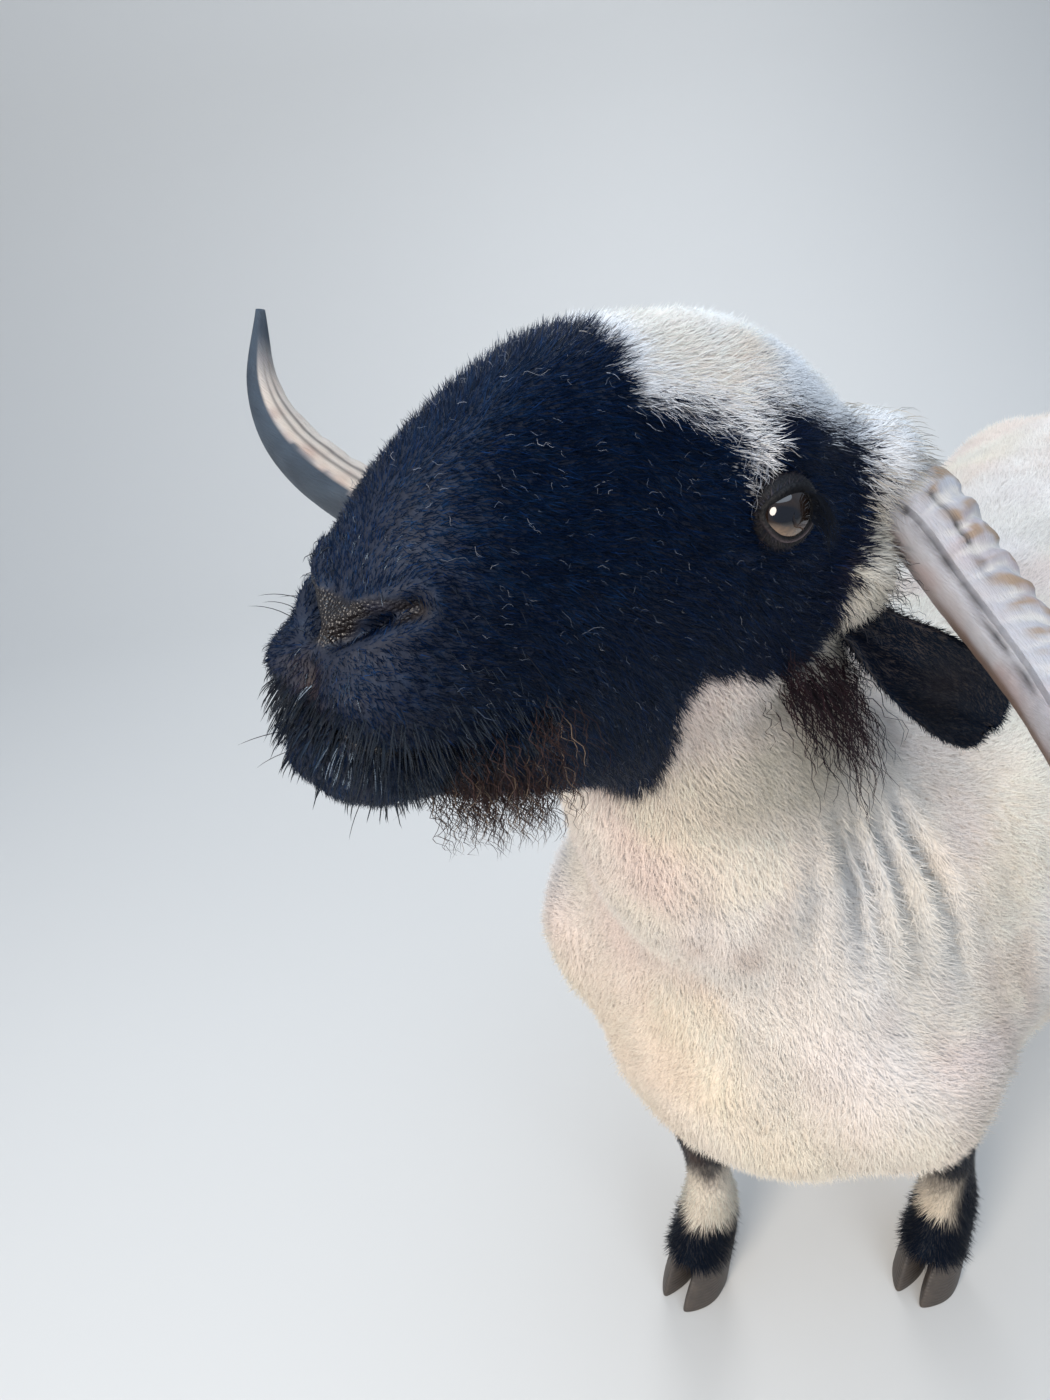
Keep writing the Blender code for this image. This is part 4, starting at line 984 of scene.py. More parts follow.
places, facing = scatter(root_mesh, lambda p: 175000.0 + 45000.0 * (1.0 - ramp(p[:, 1], -0.05, 0.25)),
                         lambda p: ~is_face(p) & ~is_leg(p))
cell = np.floor(places / 0.009)
gather = ((cell + 0.5) * 0.009 + 0.003 * np.sin(cell[:, ::-1] * 12.9) - places) / 0.009
lump = mottle(places, 0.011, 10)
tufts(
    "fleece", places, facing, body_lie(places, facing) + gather * 0.35, 0.0090 + 0.0030 * lump,
    same(len(places), 0.0009), 0.50 + 0.20 * lump, coat_colours(places) * (0.96 + 0.06 * lump)[:, None],
        wool, "fleece",
    droop=0.45, bends=0, dark=0.04, stray=2.2, soft=0.90, uneven=0.04,
)

places, facing = scatter(root_mesh, lambda p: 150000.0 + 90000.0 * (1.0 - ramp(p[:, 2], 0.10, 0.14)),
    is_leg)
places_kept = places[:, 2] > 0.036
places, facing = places[places_kept], facing[places_kept]
shaggy = 1.0 - ramp(places[:, 2], 0.085, 0.135)
tufts(
    "leg_coat", places, facing, body_lie(places, facing), 0.0080 + 0.0075 * shaggy, 0.0012 - 0.0002
        * shaggy,
    0.40 + 0.10 * shaggy, coat_colours(places), plush, "leg_coat", droop=0.4, bends=0, dark=0.35,
)


# Horns: two open spirals of horn sheath, cream and tan, grown from the skull behind the eyes.
# Wavy growth ridges cross the top, dark creases run along the outer face, and the tips are slate grey.

# sideways, forward, height of the core in the head, width and depth of the section
horn_line = (
    (0.028, 0.014, 0.044, 0.040, 0.032),
    (0.060, -0.012, 0.036, 0.056, 0.044),
    (0.100, -0.023, 0.002, 0.054, 0.042),
    (0.150, -0.011, -0.029, 0.050, 0.038),
    (0.193, 0.022, -0.048, 0.045, 0.036),
    (0.232, 0.068, -0.046, 0.045, 0.037),
    (0.270, 0.110, -0.024, 0.045, 0.038),
    (0.303, 0.133, 0.001, 0.038, 0.033),
    (0.325, 0.142, 0.034, 0.024, 0.021),
    (0.335, 0.140, 0.080, 0.007, 0.006),
)
crease_lines = (
    ((0.060, 0.026, 0.062), (0.069, 0.018, 0.055), (0.082, 0.000, 0.043), (0.099, -0.005, 0.027),
        (0.121, -0.004, 0.008)),
    ((0.067, 0.020, 0.042), (0.075, 0.012, 0.032), (0.103, 0.003, 0.008), (0.140, 0.010, -0.020),
        (0.166, 0.025, -0.033)),
)


def horn(side, count=44):
    rows = smooth_rows(horn_line, 24)
    centres = [head_axes @ Vector((side * r[0], -r[1], r[2])) for r in rows]
    deep = head_axes.to_3x3() @ Vector((0, 0, 1))
    rings, grown_along = [], []
    travelled = 0.0
    for i, row in enumerate(rows):
        along = (centres[min(i + 1, len(rows) - 1)] - centres[max(i - 1, 0)]).normalized()
        deep = (deep - along * deep.dot(along)).normalized()
        wide = along.cross(deep)
        share = i / (len(rows) - 1)
        if i:
            travelled += (centres[i] - centres[i - 1]).length
        ring = []
        for k in range(count):
            angle = 2 * math.pi * k / count
            upper = 0.5 + 0.5 * math.sin(angle)
            wander = 0.9 * math.sin(2 * angle + 5.0 * share) + 0.5 * math.sin(5 * angle + 11.0 * share)
            wander += 0.7 * math.sin(travelled * 240.0 + 3.0 * angle)
            ridge = math.sin(2 * math.pi * (travelled / (0.013 + 0.008 * share)) + wander)
            sharp = ridge - 0.35 * ridge * ridge
            fine = math.sin(2 * math.pi * travelled / 0.0036 + 2.0 * wander)
            swell = 1.0 + (0.070 * upper**2 + 0.006) * (1.0 - share) ** 0.7 * sharp + 0.005 * fine * (1.0 - share)
            corner = (1.0 + 0.07 * math.cos(3 * angle + 0.6)) * swell
            u, v = math.cos(angle) * row[3] * 0.5 * corner, math.sin(angle) * row[4] * 0.5 * corner
            ring.append(centres[i] + wide * u + deep * v)
            grown_along.append((share, upper, ridge, travelled, angle * 0.5 * row[3]))
        rings.append(ring)
    made = hide_through("horn_left_sheath" if side > 0 else "horn_right_sheath", rings)
    grown_along += [(0.0, 0.5, 0.0, 0.0, 0.0), (1.0, 0.5, 0.0, travelled, 0.0)]
    return made, np.array(grown_along)


def horn_colours(points, share, upper, ridge, outer):
    """Cream to lilac grey, tan on the ridges, white in the grooves, brown below and slate towards the tip."""
    patch = mottle(points, 0.006, 1)
    colours = blend(np.tile((0.52, 0.51, 0.55), (len(points), 1)), (0.60, 0.62, 0.68), mottle(points, 0.02))
    colours = blend(colours, (0.54, 0.41, 0.41), ramp(mottle(points, 0.018, 7), 0.45, 0.75) * 0.60)
    tan = ramp(ridge * 0.55 + patch * 0.9, 0.55, 1.05) * ramp(upper, 0.55, 0.85)
    colours = blend(colours, (0.40, 0.25, 0.12), tan * 0.80)
    groove = ramp(-ridge * 0.6 + mottle(points, 0.004, 8) * 0.7, 0.45, 0.95) * ramp(upper, 0.45, 0.80)
    colours = blend(colours, (0.82, 0.79, 0.74), groove * 0.85)
    colours = blend(colours, (0.50, 0.52, 0.58), np.exp(-(((upper - 0.34) / 0.13) ** 2)) * 0.45)
    colours = blend(colours, (0.17, 0.095, 0.055), (1.0 - ramp(upper, 0.02, 0.15))
        * ramp(share, 0.14, 0.26) * 0.85)
    tip = ramp(share + (mottle(points, 0.03, 2) - 0.5) * 0.12, 0.50, 0.66)
    pale_side = outer * (1.0 - ramp(share, 0.84, 0.97))
    slate = blend(np.tile((0.030, 0.048, 0.075), (len(points), 1)), (0.070, 0.105, 0.150),
        mottle(points, 0.010, 9) * 0.8)
    colours += (slate - colours) * (tip * (1.0 - pale_side))[:, None]
    cream = blend(np.tile((0.74, 0.66, 0.58), (len(points), 1)), (0.52, 0.36, 0.30),
        ramp(mottle(points, 0.012, 3), 0.5, 0.8) * 0.7)
    colours += (cream - colours) * (tip * pale_side)[:, None]
    line = np.exp(-(((upper - 0.70) / 0.040) ** 2)) + np.exp(-(((upper - 0.50) / 0.034) ** 2)) * 0.8
    return blend(colours, (0.070, 0.060, 0.062), np.clip(line, 0.0, 1.0) * tip * pale_side * 0.9)


horn_finish = bpy.data.materials.new("horn_sheath")
horn_finish.use_nodes = True
nodes, links = horn_finish.node_tree.nodes, horn_finish.node_tree.links
shader = nodes["Principled BSDF"]
painted = nodes.new("ShaderNodeAttribute")
painted.attribute_name = "coat"
place = nodes.new("ShaderNodeAttribute")
place.attribute_name = "grain"
fibres = nodes.new("ShaderNodeTexNoise")
fibres.inputs["Scale"].default_value = 1.0
fibres.inputs["Detail"].default_value = 8.0
fibres.inputs["Roughness"].default_value = 0.65
links.new(place.outputs["Vector"], fibres.inputs["Vector"])
tone = nodes.new("ShaderNodeMix")
tone.data_type = "RGBA"
tone.blend_type = "MULTIPLY"
tone.inputs[7].default_value = (0.62, 0.56, 0.52, 1.0)
links.new(fibres.outputs["Fac"], tone.inputs[0])
links.new(painted.outputs["Color"], tone.inputs[6])
links.new(tone.outputs[2], shader.inputs["Base Color"])
worn = nodes.new("ShaderNodeMapRange")
worn.inputs["To Min"].default_value = 0.42
worn.inputs["To Max"].default_value = 0.72
links.new(fibres.outputs["Fac"], worn.inputs["Value"])
links.new(worn.outputs["Result"], shader.inputs["Roughness"])
raised = nodes.new("ShaderNodeBump")
raised.inputs["Strength"].default_value = 0.9
raised.inputs["Distance"].default_value = 0.0020
links.new(fibres.outputs["Fac"], raised.inputs["Height"])
links.new(raised.outputs["Normal"], shader.inputs["Normal"])
shader.inputs["Subsurface Weight"].default_value = 0.06
shader.inputs["Subsurface Radius"].default_value = (0.010, 0.006, 0.004)

for side, node in ((1, "horn_left"), (-1, "horn_right")):
    sheath, grown_along = horn(side)
    points, normals = vertex_arrays(sheath.data)
    folded = in_head(points) * (side, 1.0, 1.0)
    dark_line = np.zeros(len(points))
    for line in crease_lines:
        gap, place_on = line_distance(folded, line)
        width = 0.0013 + 0.0010 * mottle(points, 0.01, 4)
        dark_line = np.maximum(dark_line, np.exp(-((gap / width) ** 2)) * (1.0 - ramp(place_on, 0.85, 1.0)))
    # the turned-up end shows its pale face inwards and back, its slate one outwards
    pale_way = unit(np.array((head_axes.to_3x3() @ Vector((-side * 0.66, 0.70, 0.28)),)))[0]
    outer = ramp(normals @ pale_way, 0.12, 0.24)
    colours = horn_colours(points, grown_along[:, 0], grown_along[:, 1], grown_along[:, 2], outer)
    colours = blend(colours, (0.030, 0.028, 0.034), dark_line * 0.92)
    sheath.data.vertices.foreach_set("co", (points - normals * (dark_line * 0.0022)[:, None]).ravel())
    paint(sheath, colours)
    grain = sheath.data.attributes.new("grain", "FLOAT_VECTOR", "POINT")
    turned_grain = np.column_stack((grown_along[:, 3] * 160.0, grown_along[:, 4] * 900.0,
        same(len(points), side * 5.0)))
    grain.data.foreach_set("vector", turned_grain.ravel())
    finished(sheath, horn_finish, "horn", node)

# Eyes: dark brown balls with a level bar of a pupil, set in lids with a heavy dark upper edge.
# The lower lid shows a thin bare tan rim, and long black lashes hang from the rear of the upper lid.

eye_radius = 0.0150
glass = bpy.data.materials.new("eye_glass")
glass.use_nodes = True
nodes, links = glass.node_tree.nodes, glass.node_tree.links
shader = nodes["Principled BSDF"]
painted = nodes.new("ShaderNodeAttribute")
painted.attribute_name = "coat"
place = nodes.new("ShaderNodeTexCoord")
flecks = nodes.new("ShaderNodeTexNoise")
flecks.inputs["Scale"].default_value = 900.0
links.new(place.outputs["Object"], flecks.inputs["Vector"])
tone = nodes.new("ShaderNodeMix")
tone.data_type = "RGBA"
tone.blend_type = "MULTIPLY"
tone.inputs[7].default_value = (0.5, 0.42, 0.36, 1.0)
links.new(flecks.outputs["Fac"], tone.inputs[0])
links.new(painted.outputs["Color"], tone.inputs[6])
links.new(tone.outputs[2], shader.inputs["Base Color"])
damp = nodes.new("ShaderNodeMapRange")
damp.inputs["To Min"].default_value = 0.05
damp.inputs["To Max"].default_value = 0.09
links.new(flecks.outputs["Fac"], damp.inputs["Value"])
links.new(damp.outputs["Result"], shader.inputs["Roughness"])
film = nodes.new("ShaderNodeBump")
film.inputs["Strength"].default_value = 0.03
film.inputs["Distance"].default_value = 0.0002
links.new(flecks.outputs["Fac"], film.inputs["Height"])
links.new(film.outputs["Normal"], shader.inputs["Normal"])
shader.inputs["Coat Weight"].default_value = 1.0
shader.inputs["Coat Roughness"].default_value = 0.02
shader.inputs["IOR"].default_value = 1.38

lid_finish = hair_finish("lid", 0.56, 700.0, 0.35, 0.5, specular=0.25)

eye_sites = {}
for side, node in ((1, "eye_left"), (-1, "eye_right")):
    place = head_axes @ Matrix.Translation((side * eye_centre[0], -eye_centre[1], eye_centre[2]))
    # the opening faces outwards and forwards, the gaze a little further forwards; y is backwards in the head
    outlook = Vector((side * 0.95, -0.29, 0.12)).normalized()
    backwards = (Vector((0, 1, -0.10)) - outlook * Vector((0, 1, -0.10)).dot(outlook)).normalized()
    upwards = outlook.cross(backwards) * side
    eye_sites[side] = (place, outlook, backwards, upwards)
    bm = bmesh.new()
    bmesh.ops.create_icosphere(bm, subdivisions=5, radius=eye_radius)
    ball = mesh_object("eyeball_left" if side > 0 else "eyeball_right", bm)
    points, normals = vertex_arrays(ball.data)
    gaze = unit(np.array(((side * 0.72, -0.68, 0.06),)))[0]
    level = unit(np.cross((0.0, 0.0, 1.0), gaze)[None, :])[0]
    steep = np.cross(gaze, level)
    outwards = points @ gaze / eye_radius
    long_way, tall_way = points @ level, points @ steep
    bulge = ramp(outwards, 0.72, 0.95) * 0.0007
    from_middle = np.where(outwards > 0, np.hypot(long_way, tall_way), 0.02)
    pupil = (1.0 - ramp(np.hypot(long_way / 0.0066, tall_way / 0.0042), 0.80, 1.10)) * (outwards > 0)
    iris = 1.0 - ramp(from_middle, 0.0100, 0.0114)
    rays = 0.5 + 0.5 * np.sin(np.arctan2(tall_way, long_way) * 46.0) * mottle(points, 0.003)
    colours = np.tile((0.012, 0.008, 0.007), (len(points), 1))
    colours = blend(colours, (0.010, 0.006, 0.005), iris)
    # painted light and shade: only the lower part of the iris is painted brown, the upper part is left dark
    lit_lower_iris = 1.0 - ramp(tall_way, -0.0085, -0.0025)
    colours = blend(colours, (0.26, 0.165, 0.095), iris * (0.04 + 0.96 * lit_lower_iris) * (0.4 + 0.6 * rays))
    colours = blend(colours, (0.010, 0.007, 0.007), iris * np.exp(-(((from_middle - 0.0112)
        / 0.0008) ** 2)) * 0.8)
    colours = blend(colours, (0.002, 0.002, 0.005), pupil)
    points = points + normals * bulge[:, None]
    ball.data.vertices.foreach_set("co", points.ravel())
    ball.data.transform(place)
    paint(ball, colours)
    finished(ball, glass, "eye", node)

# degrees out from the edge of the opening, and how far the lid stands off the ball there, lower and upper
lid_profile = (
    (-5, 0.0000, 0.0000), (-2, 0.0007, 0.0010), (1, 0.0012, 0.0020), (5, 0.0014, 0.0026),
        (9, 0.0010, 0.0024),
    (13, 0.0009, 0.0014), (18, 0.0015, 0.0024), (25, 0.0017, 0.0030), (34, 0.0010, 0.0024),
        (46, -0.0016, -0.0006),
)
lid_meshes = []
for side in (1, -1):
    place, outlook, backwards, upwards = eye_sites[side]
    bm = bmesh.new()
    loops, tones = [], []
    count = 72
    for k in range(count):
        angle = 2 * math.pi * k / count
        c, s = math.cos(angle), math.sin(angle)
        upper, lower = max(s, 0.0), max(-s, 0.0)
        # the front corner is drawn out to a point and lies lower than the rear one
        along_eye = (0.0116 if c < 0 else 0.0076) * c - 0.0016 * max(-c, 0.0) ** 6
        across_eye = (0.0101 * upper**0.9 - 0.0106 * lower**0.9) * (1.0 - 0.12
            * max(-c, 0.0) ** 2) + 0.0012 * c
        edge = outlook * math.sqrt(eye_radius**2 - along_eye**2 - across_eye**2)
        edge += backwards * along_eye + upwards * across_eye
        edge.normalize()
        turn_axis = outlook.cross(edge).normalized()
        loop = []
        for degrees, low_rise, high_rise in lid_profile:
            lift = low_rise + (high_rise - low_rise) * min(upper * 1.5, 1.0)
            swung = Matrix.Rotation(math.radians(degrees), 3, turn_axis) @ edge
            loop.append(bm.verts.new(swung * (eye_radius + lift)))
            pink = math.exp(-(((degrees - 4) / 2.4) ** 2)) * min(lower * 1.5, 1.0) * (0.55 + 0.45 * c)
            dark = Vector((0.002, 0.002, 0.003)).lerp(Vector((0.006, 0.006, 0.008)),
                min(max(degrees / 30, 0.0), 1.0))
            tones.append(dark.lerp(Vector((0.21, 0.160, 0.175)), pink * 0.9))
        loops.append(loop)
    for a, b in zip(loops, loops[1:] + loops[:1]):
        for i in range(len(lid_profile) - 1):
            bm.faces.new((a[i], a[i + 1], b[i + 1], b[i]))
    lid = mesh_object("lid_left" if side > 0 else "lid_right", bm)
    lid.data.transform(place)
    paint(lid, np.array(tones))
    lid_meshes.append(lid.data.copy())
    finished(lid, lid_finish, "face_coat")


def strands(name, places, facing, heading, sag, length, width, colours, finish, slot, coil=0.0,
    turns=0.0, bends=5, dark=0.3, lock=None):
    """Long tapered hairs that leave along their heading and sag to another, coiling and meeting in locks if told.
    Dark is the painted shade at the root, and the tip is painted lighter.
    """
    count = len(places)
    size = length * draw.uniform(0.75, 1.15, count)
    heading = unit(heading + draw.normal(0.0, 0.13, (count, 3)))
    sag = unit(sag + draw.normal(0.0, 0.10, (count, 3)))
    turn = draw.uniform(0.0, 2 * np.pi, count)
    drift = np.zeros((count, 3))
    if lock:
        cell = np.floor(places / lock)
        middle = (cell + 0.5 + 0.3 * np.sin(cell[:, ::-1] * 12.9)) * lock
        drift = (middle - places) * draw.uniform(0.6, 1.0, (count, 1))
        turn = turn * 0.15 + (cell @ (12.9, 78.2, 37.7)) % (2 * np.pi)
        size *= 0.8 + 0.4 * np.abs(np.sin(cell @ (3.1, 7.7, 5.3)))
    spot = places - heading * 0.0015
    side_a = unit(np.cross(heading, sag + facing * 0.3))
    radius = coil * draw.uniform(0.4, 1.3, count)
    rings, shades = [], []
    for k in range(bends + 2):
        share = k / (bends + 1)
        along = unit(heading * (1.0 - share) + sag * share)
        side_b = np.cross(along, side_a)
        angle = turn + share * turns * 2 * np.pi
        offset = side_a * (np.cos(angle) - np.cos(turn))[:, None] + side_b * (np.sin(angle)
            - np.sin(turn))[:, None]
        centre = spot + offset * (radius * min(share * 3.0, 1.0))[:, None] + drift * min(share * 1.4, 1.0)
        thick = (width * 0.5 * (1.0 - 0.7 * share**2))[:, None]
        # painted light on the tip ring; painted shade on the rings below, darker towards the root
        if k > bends:
            rings.append((centre, along))
            shades.append(1.15)
        else:
            for corner in range(3):
                arm = side_a * math.cos(corner * 2.0944) + side_b * math.sin(corner * 2.0944)
                rings.append((centre + arm * thick, arm))
            shades += [1.0 - dark * (1.0 - share)] * 3
        spot = spot + along * (size / (bends + 1))[:, None]
    woven(name, places, facing, rings, shades, colours, finish, slot, bends)


def toned(count, *tones):
    """Colours drawn at random between the given ones."""
    share = draw.dirichlet(np.ones(len(tones)), count)
    return share @ np.array(tones)


def turned_out(rows):
    """Directions in the head, sideways, forward and height, as directions of the animal."""
    return (np.array(rows) * (1.0, -1.0, 1.0)) @ np.array(head_axes.to_3x3()).T


# short hair on the lids, running back from the edge
for side, lid_mesh in zip((1, -1), lid_meshes):
    place, outlook, backwards, upwards = eye_sites[side]
    middle = np.array(place.translation)
    outlook = np.array(place.to_3x3() @ outlook)

    def off_the_edge(points):
        return (points - middle) @ outlook < 0.0108

    places, facing = scatter(lid_mesh, lambda p: same(len(p), 650000.0), off_the_edge)
    facing = unit(places - middle)
    away = unit(facing - outlook * np.sum(facing * outlook, axis=1, keepdims=True))
    lie = away + turned_out(np.tile((0.0, -0.9, 0.1), (len(places), 1)))
    tufts(
        "lid_coat_left" if side > 0 else "lid_coat_right", places, facing, lie,
            same(len(places), 0.0046), same(len(places), 0.0006),
        0.30, toned(len(places), (0.004, 0.006, 0.014), (0.022, 0.020, 0.024), (0.060, 0.046, 0.044)),
            plush, "face_coat",
        droop=0.3, bends=0, dark=0.3,
    )

lash_places, lash_facing, lash_heading, lash_sag = [], [], [], []
for side in (1, -1):
    place, outlook, backwards, upwards = eye_sites[side]
    turn = place.to_3x3()
    for k in range(80):
        angle = math.radians(draw.uniform(-25.0, 75.0))
        at_rear = math.cos(angle)
        spot = backwards * (0.0080 * at_rear) + upwards * (0.0101 * math.sin(angle) + 0.0012 * at_rear)
        spot += outlook * math.sqrt((eye_radius + 0.0022) ** 2 - spot.length_squared)
        away = (backwards * at_rear + upwards * math.sin(angle)).normalized()
        lash_places.append(place @ spot)
        lash_facing.append(turn @ outlook)
        lash_heading.append(turn @ (outlook * 0.9 + away * 0.35 - upwards * 0.3))
        lash_sag.append(turn @ (backwards * 0.10 - upwards * 1.0 - outlook * 0.10))
count = len(lash_places)
strands(
    "lashes", np.array(lash_places), np.array(lash_facing), np.array(lash_heading), np.array(lash_sag),
    same(count, 0.0185), same(count, 0.00042), toned(count, (0.001, 0.0014, 0.003), (0.004, 0.006, 0.012)),
    hair_finish("lash", 0.38, 900.0, 0.2, 0.1, specular=0.35), "face_coat", bends=5, dark=0.1,
)

# Ears: soft leaves of gristle and hide that hang back behind the horns, black haired outside, brown inside.

# sideways, forward and height of the midline in the head, share of the full width
ear_line = (
    (0.046, 0.014, -0.016, 0.42),
    (0.066, 0.002, -0.031, 0.62),
    (0.083, -0.014, -0.044, 0.90),
    (0.095, -0.033, -0.056, 1.00),
    (0.103, -0.051, -0.067, 0.92),
    (0.108, -0.064, -0.077, 0.66),
    (0.110, -0.070, -0.082, 0.32),
)
ear_hide = hair_finish("ear_hide", 0.70, 500.0, 0.35, 0.4)

for side, node in ((1, "ear_left"), (-1, "ear_right")):
    rows = smooth_rows(ear_line, 6)
    faced = (head_axes.to_3x3() @ Vector((side * 0.62, -0.62, 0.20))).normalized()
    centres = []
    for i, (x, forward, height, width) in enumerate(rows):
        push = i / len(rows) if side < 0 else 0.0
        centres.append(head_axes @ Vector((side * (x + 0.020 * push), -(forward + 0.008 * push), height
            + 0.016 * push)))
    rings = []
    for i, row in enumerate(rows):
        along = (centres[min(i + 1, len(rows) - 1)] - centres[max(i - 1, 0)]).normalized()
        out = (faced - along * faced.dot(along)).normalized()
        wide = along.cross(out)
        half_width = 0.0240 * row[3]
        thick = 0.0036 * (1.0 + 1.4 * max(0.0, 1.0 - 3.0 * i / len(rows)))
        ring = []
        for wall, steps in ((-1, range(17)), (1, range(15, 0, -1))):
            for k in steps:
                u = -1.0 + k / 8.0
                dip = half_width * 0.55 * (u * u - 0.4) + 0.0006 * math.sin(9.0 * u + 0.4 * i)
                rim = math.sqrt(max(1.0 - u * u, 0.0))
                ring.append(centres[i] + wide * u * half_width + out
                    * (dip + wall * thick * 0.5 * (0.25 + 0.75 * rim)))
        rings.append(ring)
    leaf = hide_through("ear_leaf_left" if side > 0 else "ear_leaf_right", rings)
    points, normals = vertex_arrays(leaf.data)
    inner = ramp(normals @ np.array(faced), 0.0, 0.4)
    colours = blend(np.tile((0.006, 0.006, 0.009), (len(points), 1)), (0.026, 0.019, 0.019), inner
        * mottle(points, 0.02))
    paint(leaf, colours)
    ear_mesh = leaf.data.copy()
    finished(leaf, ear_hide, "short_coat", node)
    places, facing = scatter(ear_mesh, lambda p: same(len(p), 800000.0), lambda p: p[:, 2] > 0.0)
    inner = ramp(facing @ np.array(faced), 0.0, 0.4)
    tip_way = unit(np.array((centres[-1] - centres[3],)))
    lie = np.repeat(tip_way, len(places), axis=0) + (mottle(places, 0.012, 3) - 0.5)[:,
        None] * np.cross(facing, tip_way)
    midway = np.exp(-((np.linalg.norm(places - np.array(centres[len(centres) // 2]), axis=1) / 0.016) ** 2))
    colours = blend(toned(len(places), (0.0015, 0.003, 0.008), (0.004, 0.006, 0.013)),
        (0.034, 0.024, 0.021), inner * midway * 0.5)
    tufts(
        "ear_coat_left" if side > 0 else "ear_coat_right", places, facing, lie, 0.0075 - 0.0015 * inner,
        same(len(places), 0.0008), 0.50 - 0.10 * inner, colours, plush, "short_coat", droop=0.3,
            curl=0.2, bends=0, dark=0.3,
    )

# Locks: the longer hair left by the shears, wet black fringe on the lips, curls on jaw and cheeks.
# All of it grows from the hide; the curls are brown, the whiskers stiff and black.

wet = hair_finish("wet_hair", 0.25, 900.0, 0.2, 0.1, 0.0, (0.55, 0.74, 1.0), 0.50)
curly = hair_finish("curly_hair", 0.62, 700.0, 0.25, 0.2, 0.0, (0.85, 0.90, 1.0), 0.25)


def roots_in(low, high, density):
    """Roots on the hide inside a block of the head, on both sides."""

    def keep(points):
        local = in_head(points)
        folded = np.column_stack((np.abs(local[:, 0]), local[:, 1:]))
        return np.all((folded > low) & (folded < high), axis=1)

    places, facing = scatter(root_mesh, lambda p: same(len(p), density), keep)
    return places, facing, in_head(places)


# fringe of both lips and the chin, in wet clumps that hide the line of the mouth
places, facing, local = roots_in((0.0, 0.212, -0.100), (0.06, 0.32, -0.038), 190000.0)
gap, place_on = line_distance(np.column_stack((np.abs(local[:, 0]), local[:, 1:])), mouth_line)
near = (draw.random(len(places)) < np.exp(-((gap / 0.017) ** 2))) & (gap > 0.0016)
places, facing, local, gap = places[near], facing[near], local[near], gap[near]
back = -0.55 + 0.75 * ramp(local[:, 1], 0.26, 0.30)
sag = turned_out(np.column_stack((np.sign(local[:, 0]) * 0.12, back, same(len(places), -1.0))))
strands(
    "lip_fringe", places, facing, facing * 0.50 + sag * 0.85, sag, 0.0095 + 0.0095
        * np.exp(-((gap / 0.008) ** 2)),
    same(len(places), 0.00070), toned(len(places), (0.001, 0.002, 0.005), (0.003, 0.006, 0.013),
        (0.009, 0.007, 0.008)),
    wet, "face_coat", bends=3, dark=0.2, lock=0.0034,
)

# stiff hairs on the upper lip and muzzle, pointing forward and down
places, facing, local = roots_in((0.0, 0.235, -0.050), (0.06, 0.32, 0.010), 16000.0)
keep = draw.random(len(places)) > bare_share(places)
places, facing, local = places[keep], facing[keep], local[keep]
sag = turned_out(np.column_stack((np.sign(local[:, 0]) * 0.25, same(len(places), -0.25),
    same(len(places), -0.8))))
strands(
    "muzzle_hairs", places, facing, facing * 0.7 + sag * 0.7, sag, same(len(places), 0.0090),
        same(len(places), 0.00055),
    toned(len(places), (0.004, 0.005, 0.008), (0.020, 0.022, 0.030)), wet, "face_coat", bends=2, dark=0.2,
)

places, facing, local = roots_in((0.006, 0.225, -0.100), (0.06, 0.31, -0.015), 1500.0)
sag = turned_out(np.column_stack((np.sign(local[:, 0]) * 0.4, same(len(places), 0.25),
    same(len(places), -0.9))))
strands(
    "whiskers", places, facing, facing + sag * 0.15, sag + facing, same(len(places), 0.024),
        same(len(places), 0.00045),
    toned(len(places), (0.006, 0.006, 0.009), (0.020, 0.018, 0.020)), wet, "face_coat", bends=5, dark=0.0,
)

# curls at the chin and along the jaw, brown with a few pale hairs
places, facing, local = roots_in((0.010, 0.175, -0.125), (0.06, 0.256, -0.036), 150000.0)
band = np.exp(-(((local[:, 2] + 0.086 - (local[:, 1] - 0.215) * 0.4) / 0.016) ** 2))
corner = np.exp(-(((local[:, 1] - 0.216) / 0.010) ** 2)) * np.exp(-(((local[:, 2] + 0.052) / 0.010) ** 2))
keep = draw.random(len(places)) < np.maximum(band, corner * 0.8) * ramp(local[:, 1], 0.175, 0.195)
places, facing, local = places[keep], facing[keep], local[keep]
sag = turned_out(np.column_stack((np.sign(local[:, 0]) * 0.15, same(len(places), -0.35),
    same(len(places), -0.9))))
pale = draw.random(len(places)) < 0.10
colours = toned(len(places), (0.012, 0.008, 0.009), (0.085, 0.042, 0.032), (0.040, 0.020, 0.017))
colours[pale] = (0.32, 0.22, 0.15)
strands(
    "jaw_curls", places, facing, facing * 0.6 + sag, sag, same(len(places), 0.030),
        same(len(places), 0.00050),
    colours, curly, "face_coat", coil=0.0028, turns=2.3, bends=10, dark=0.2, lock=0.009,
)

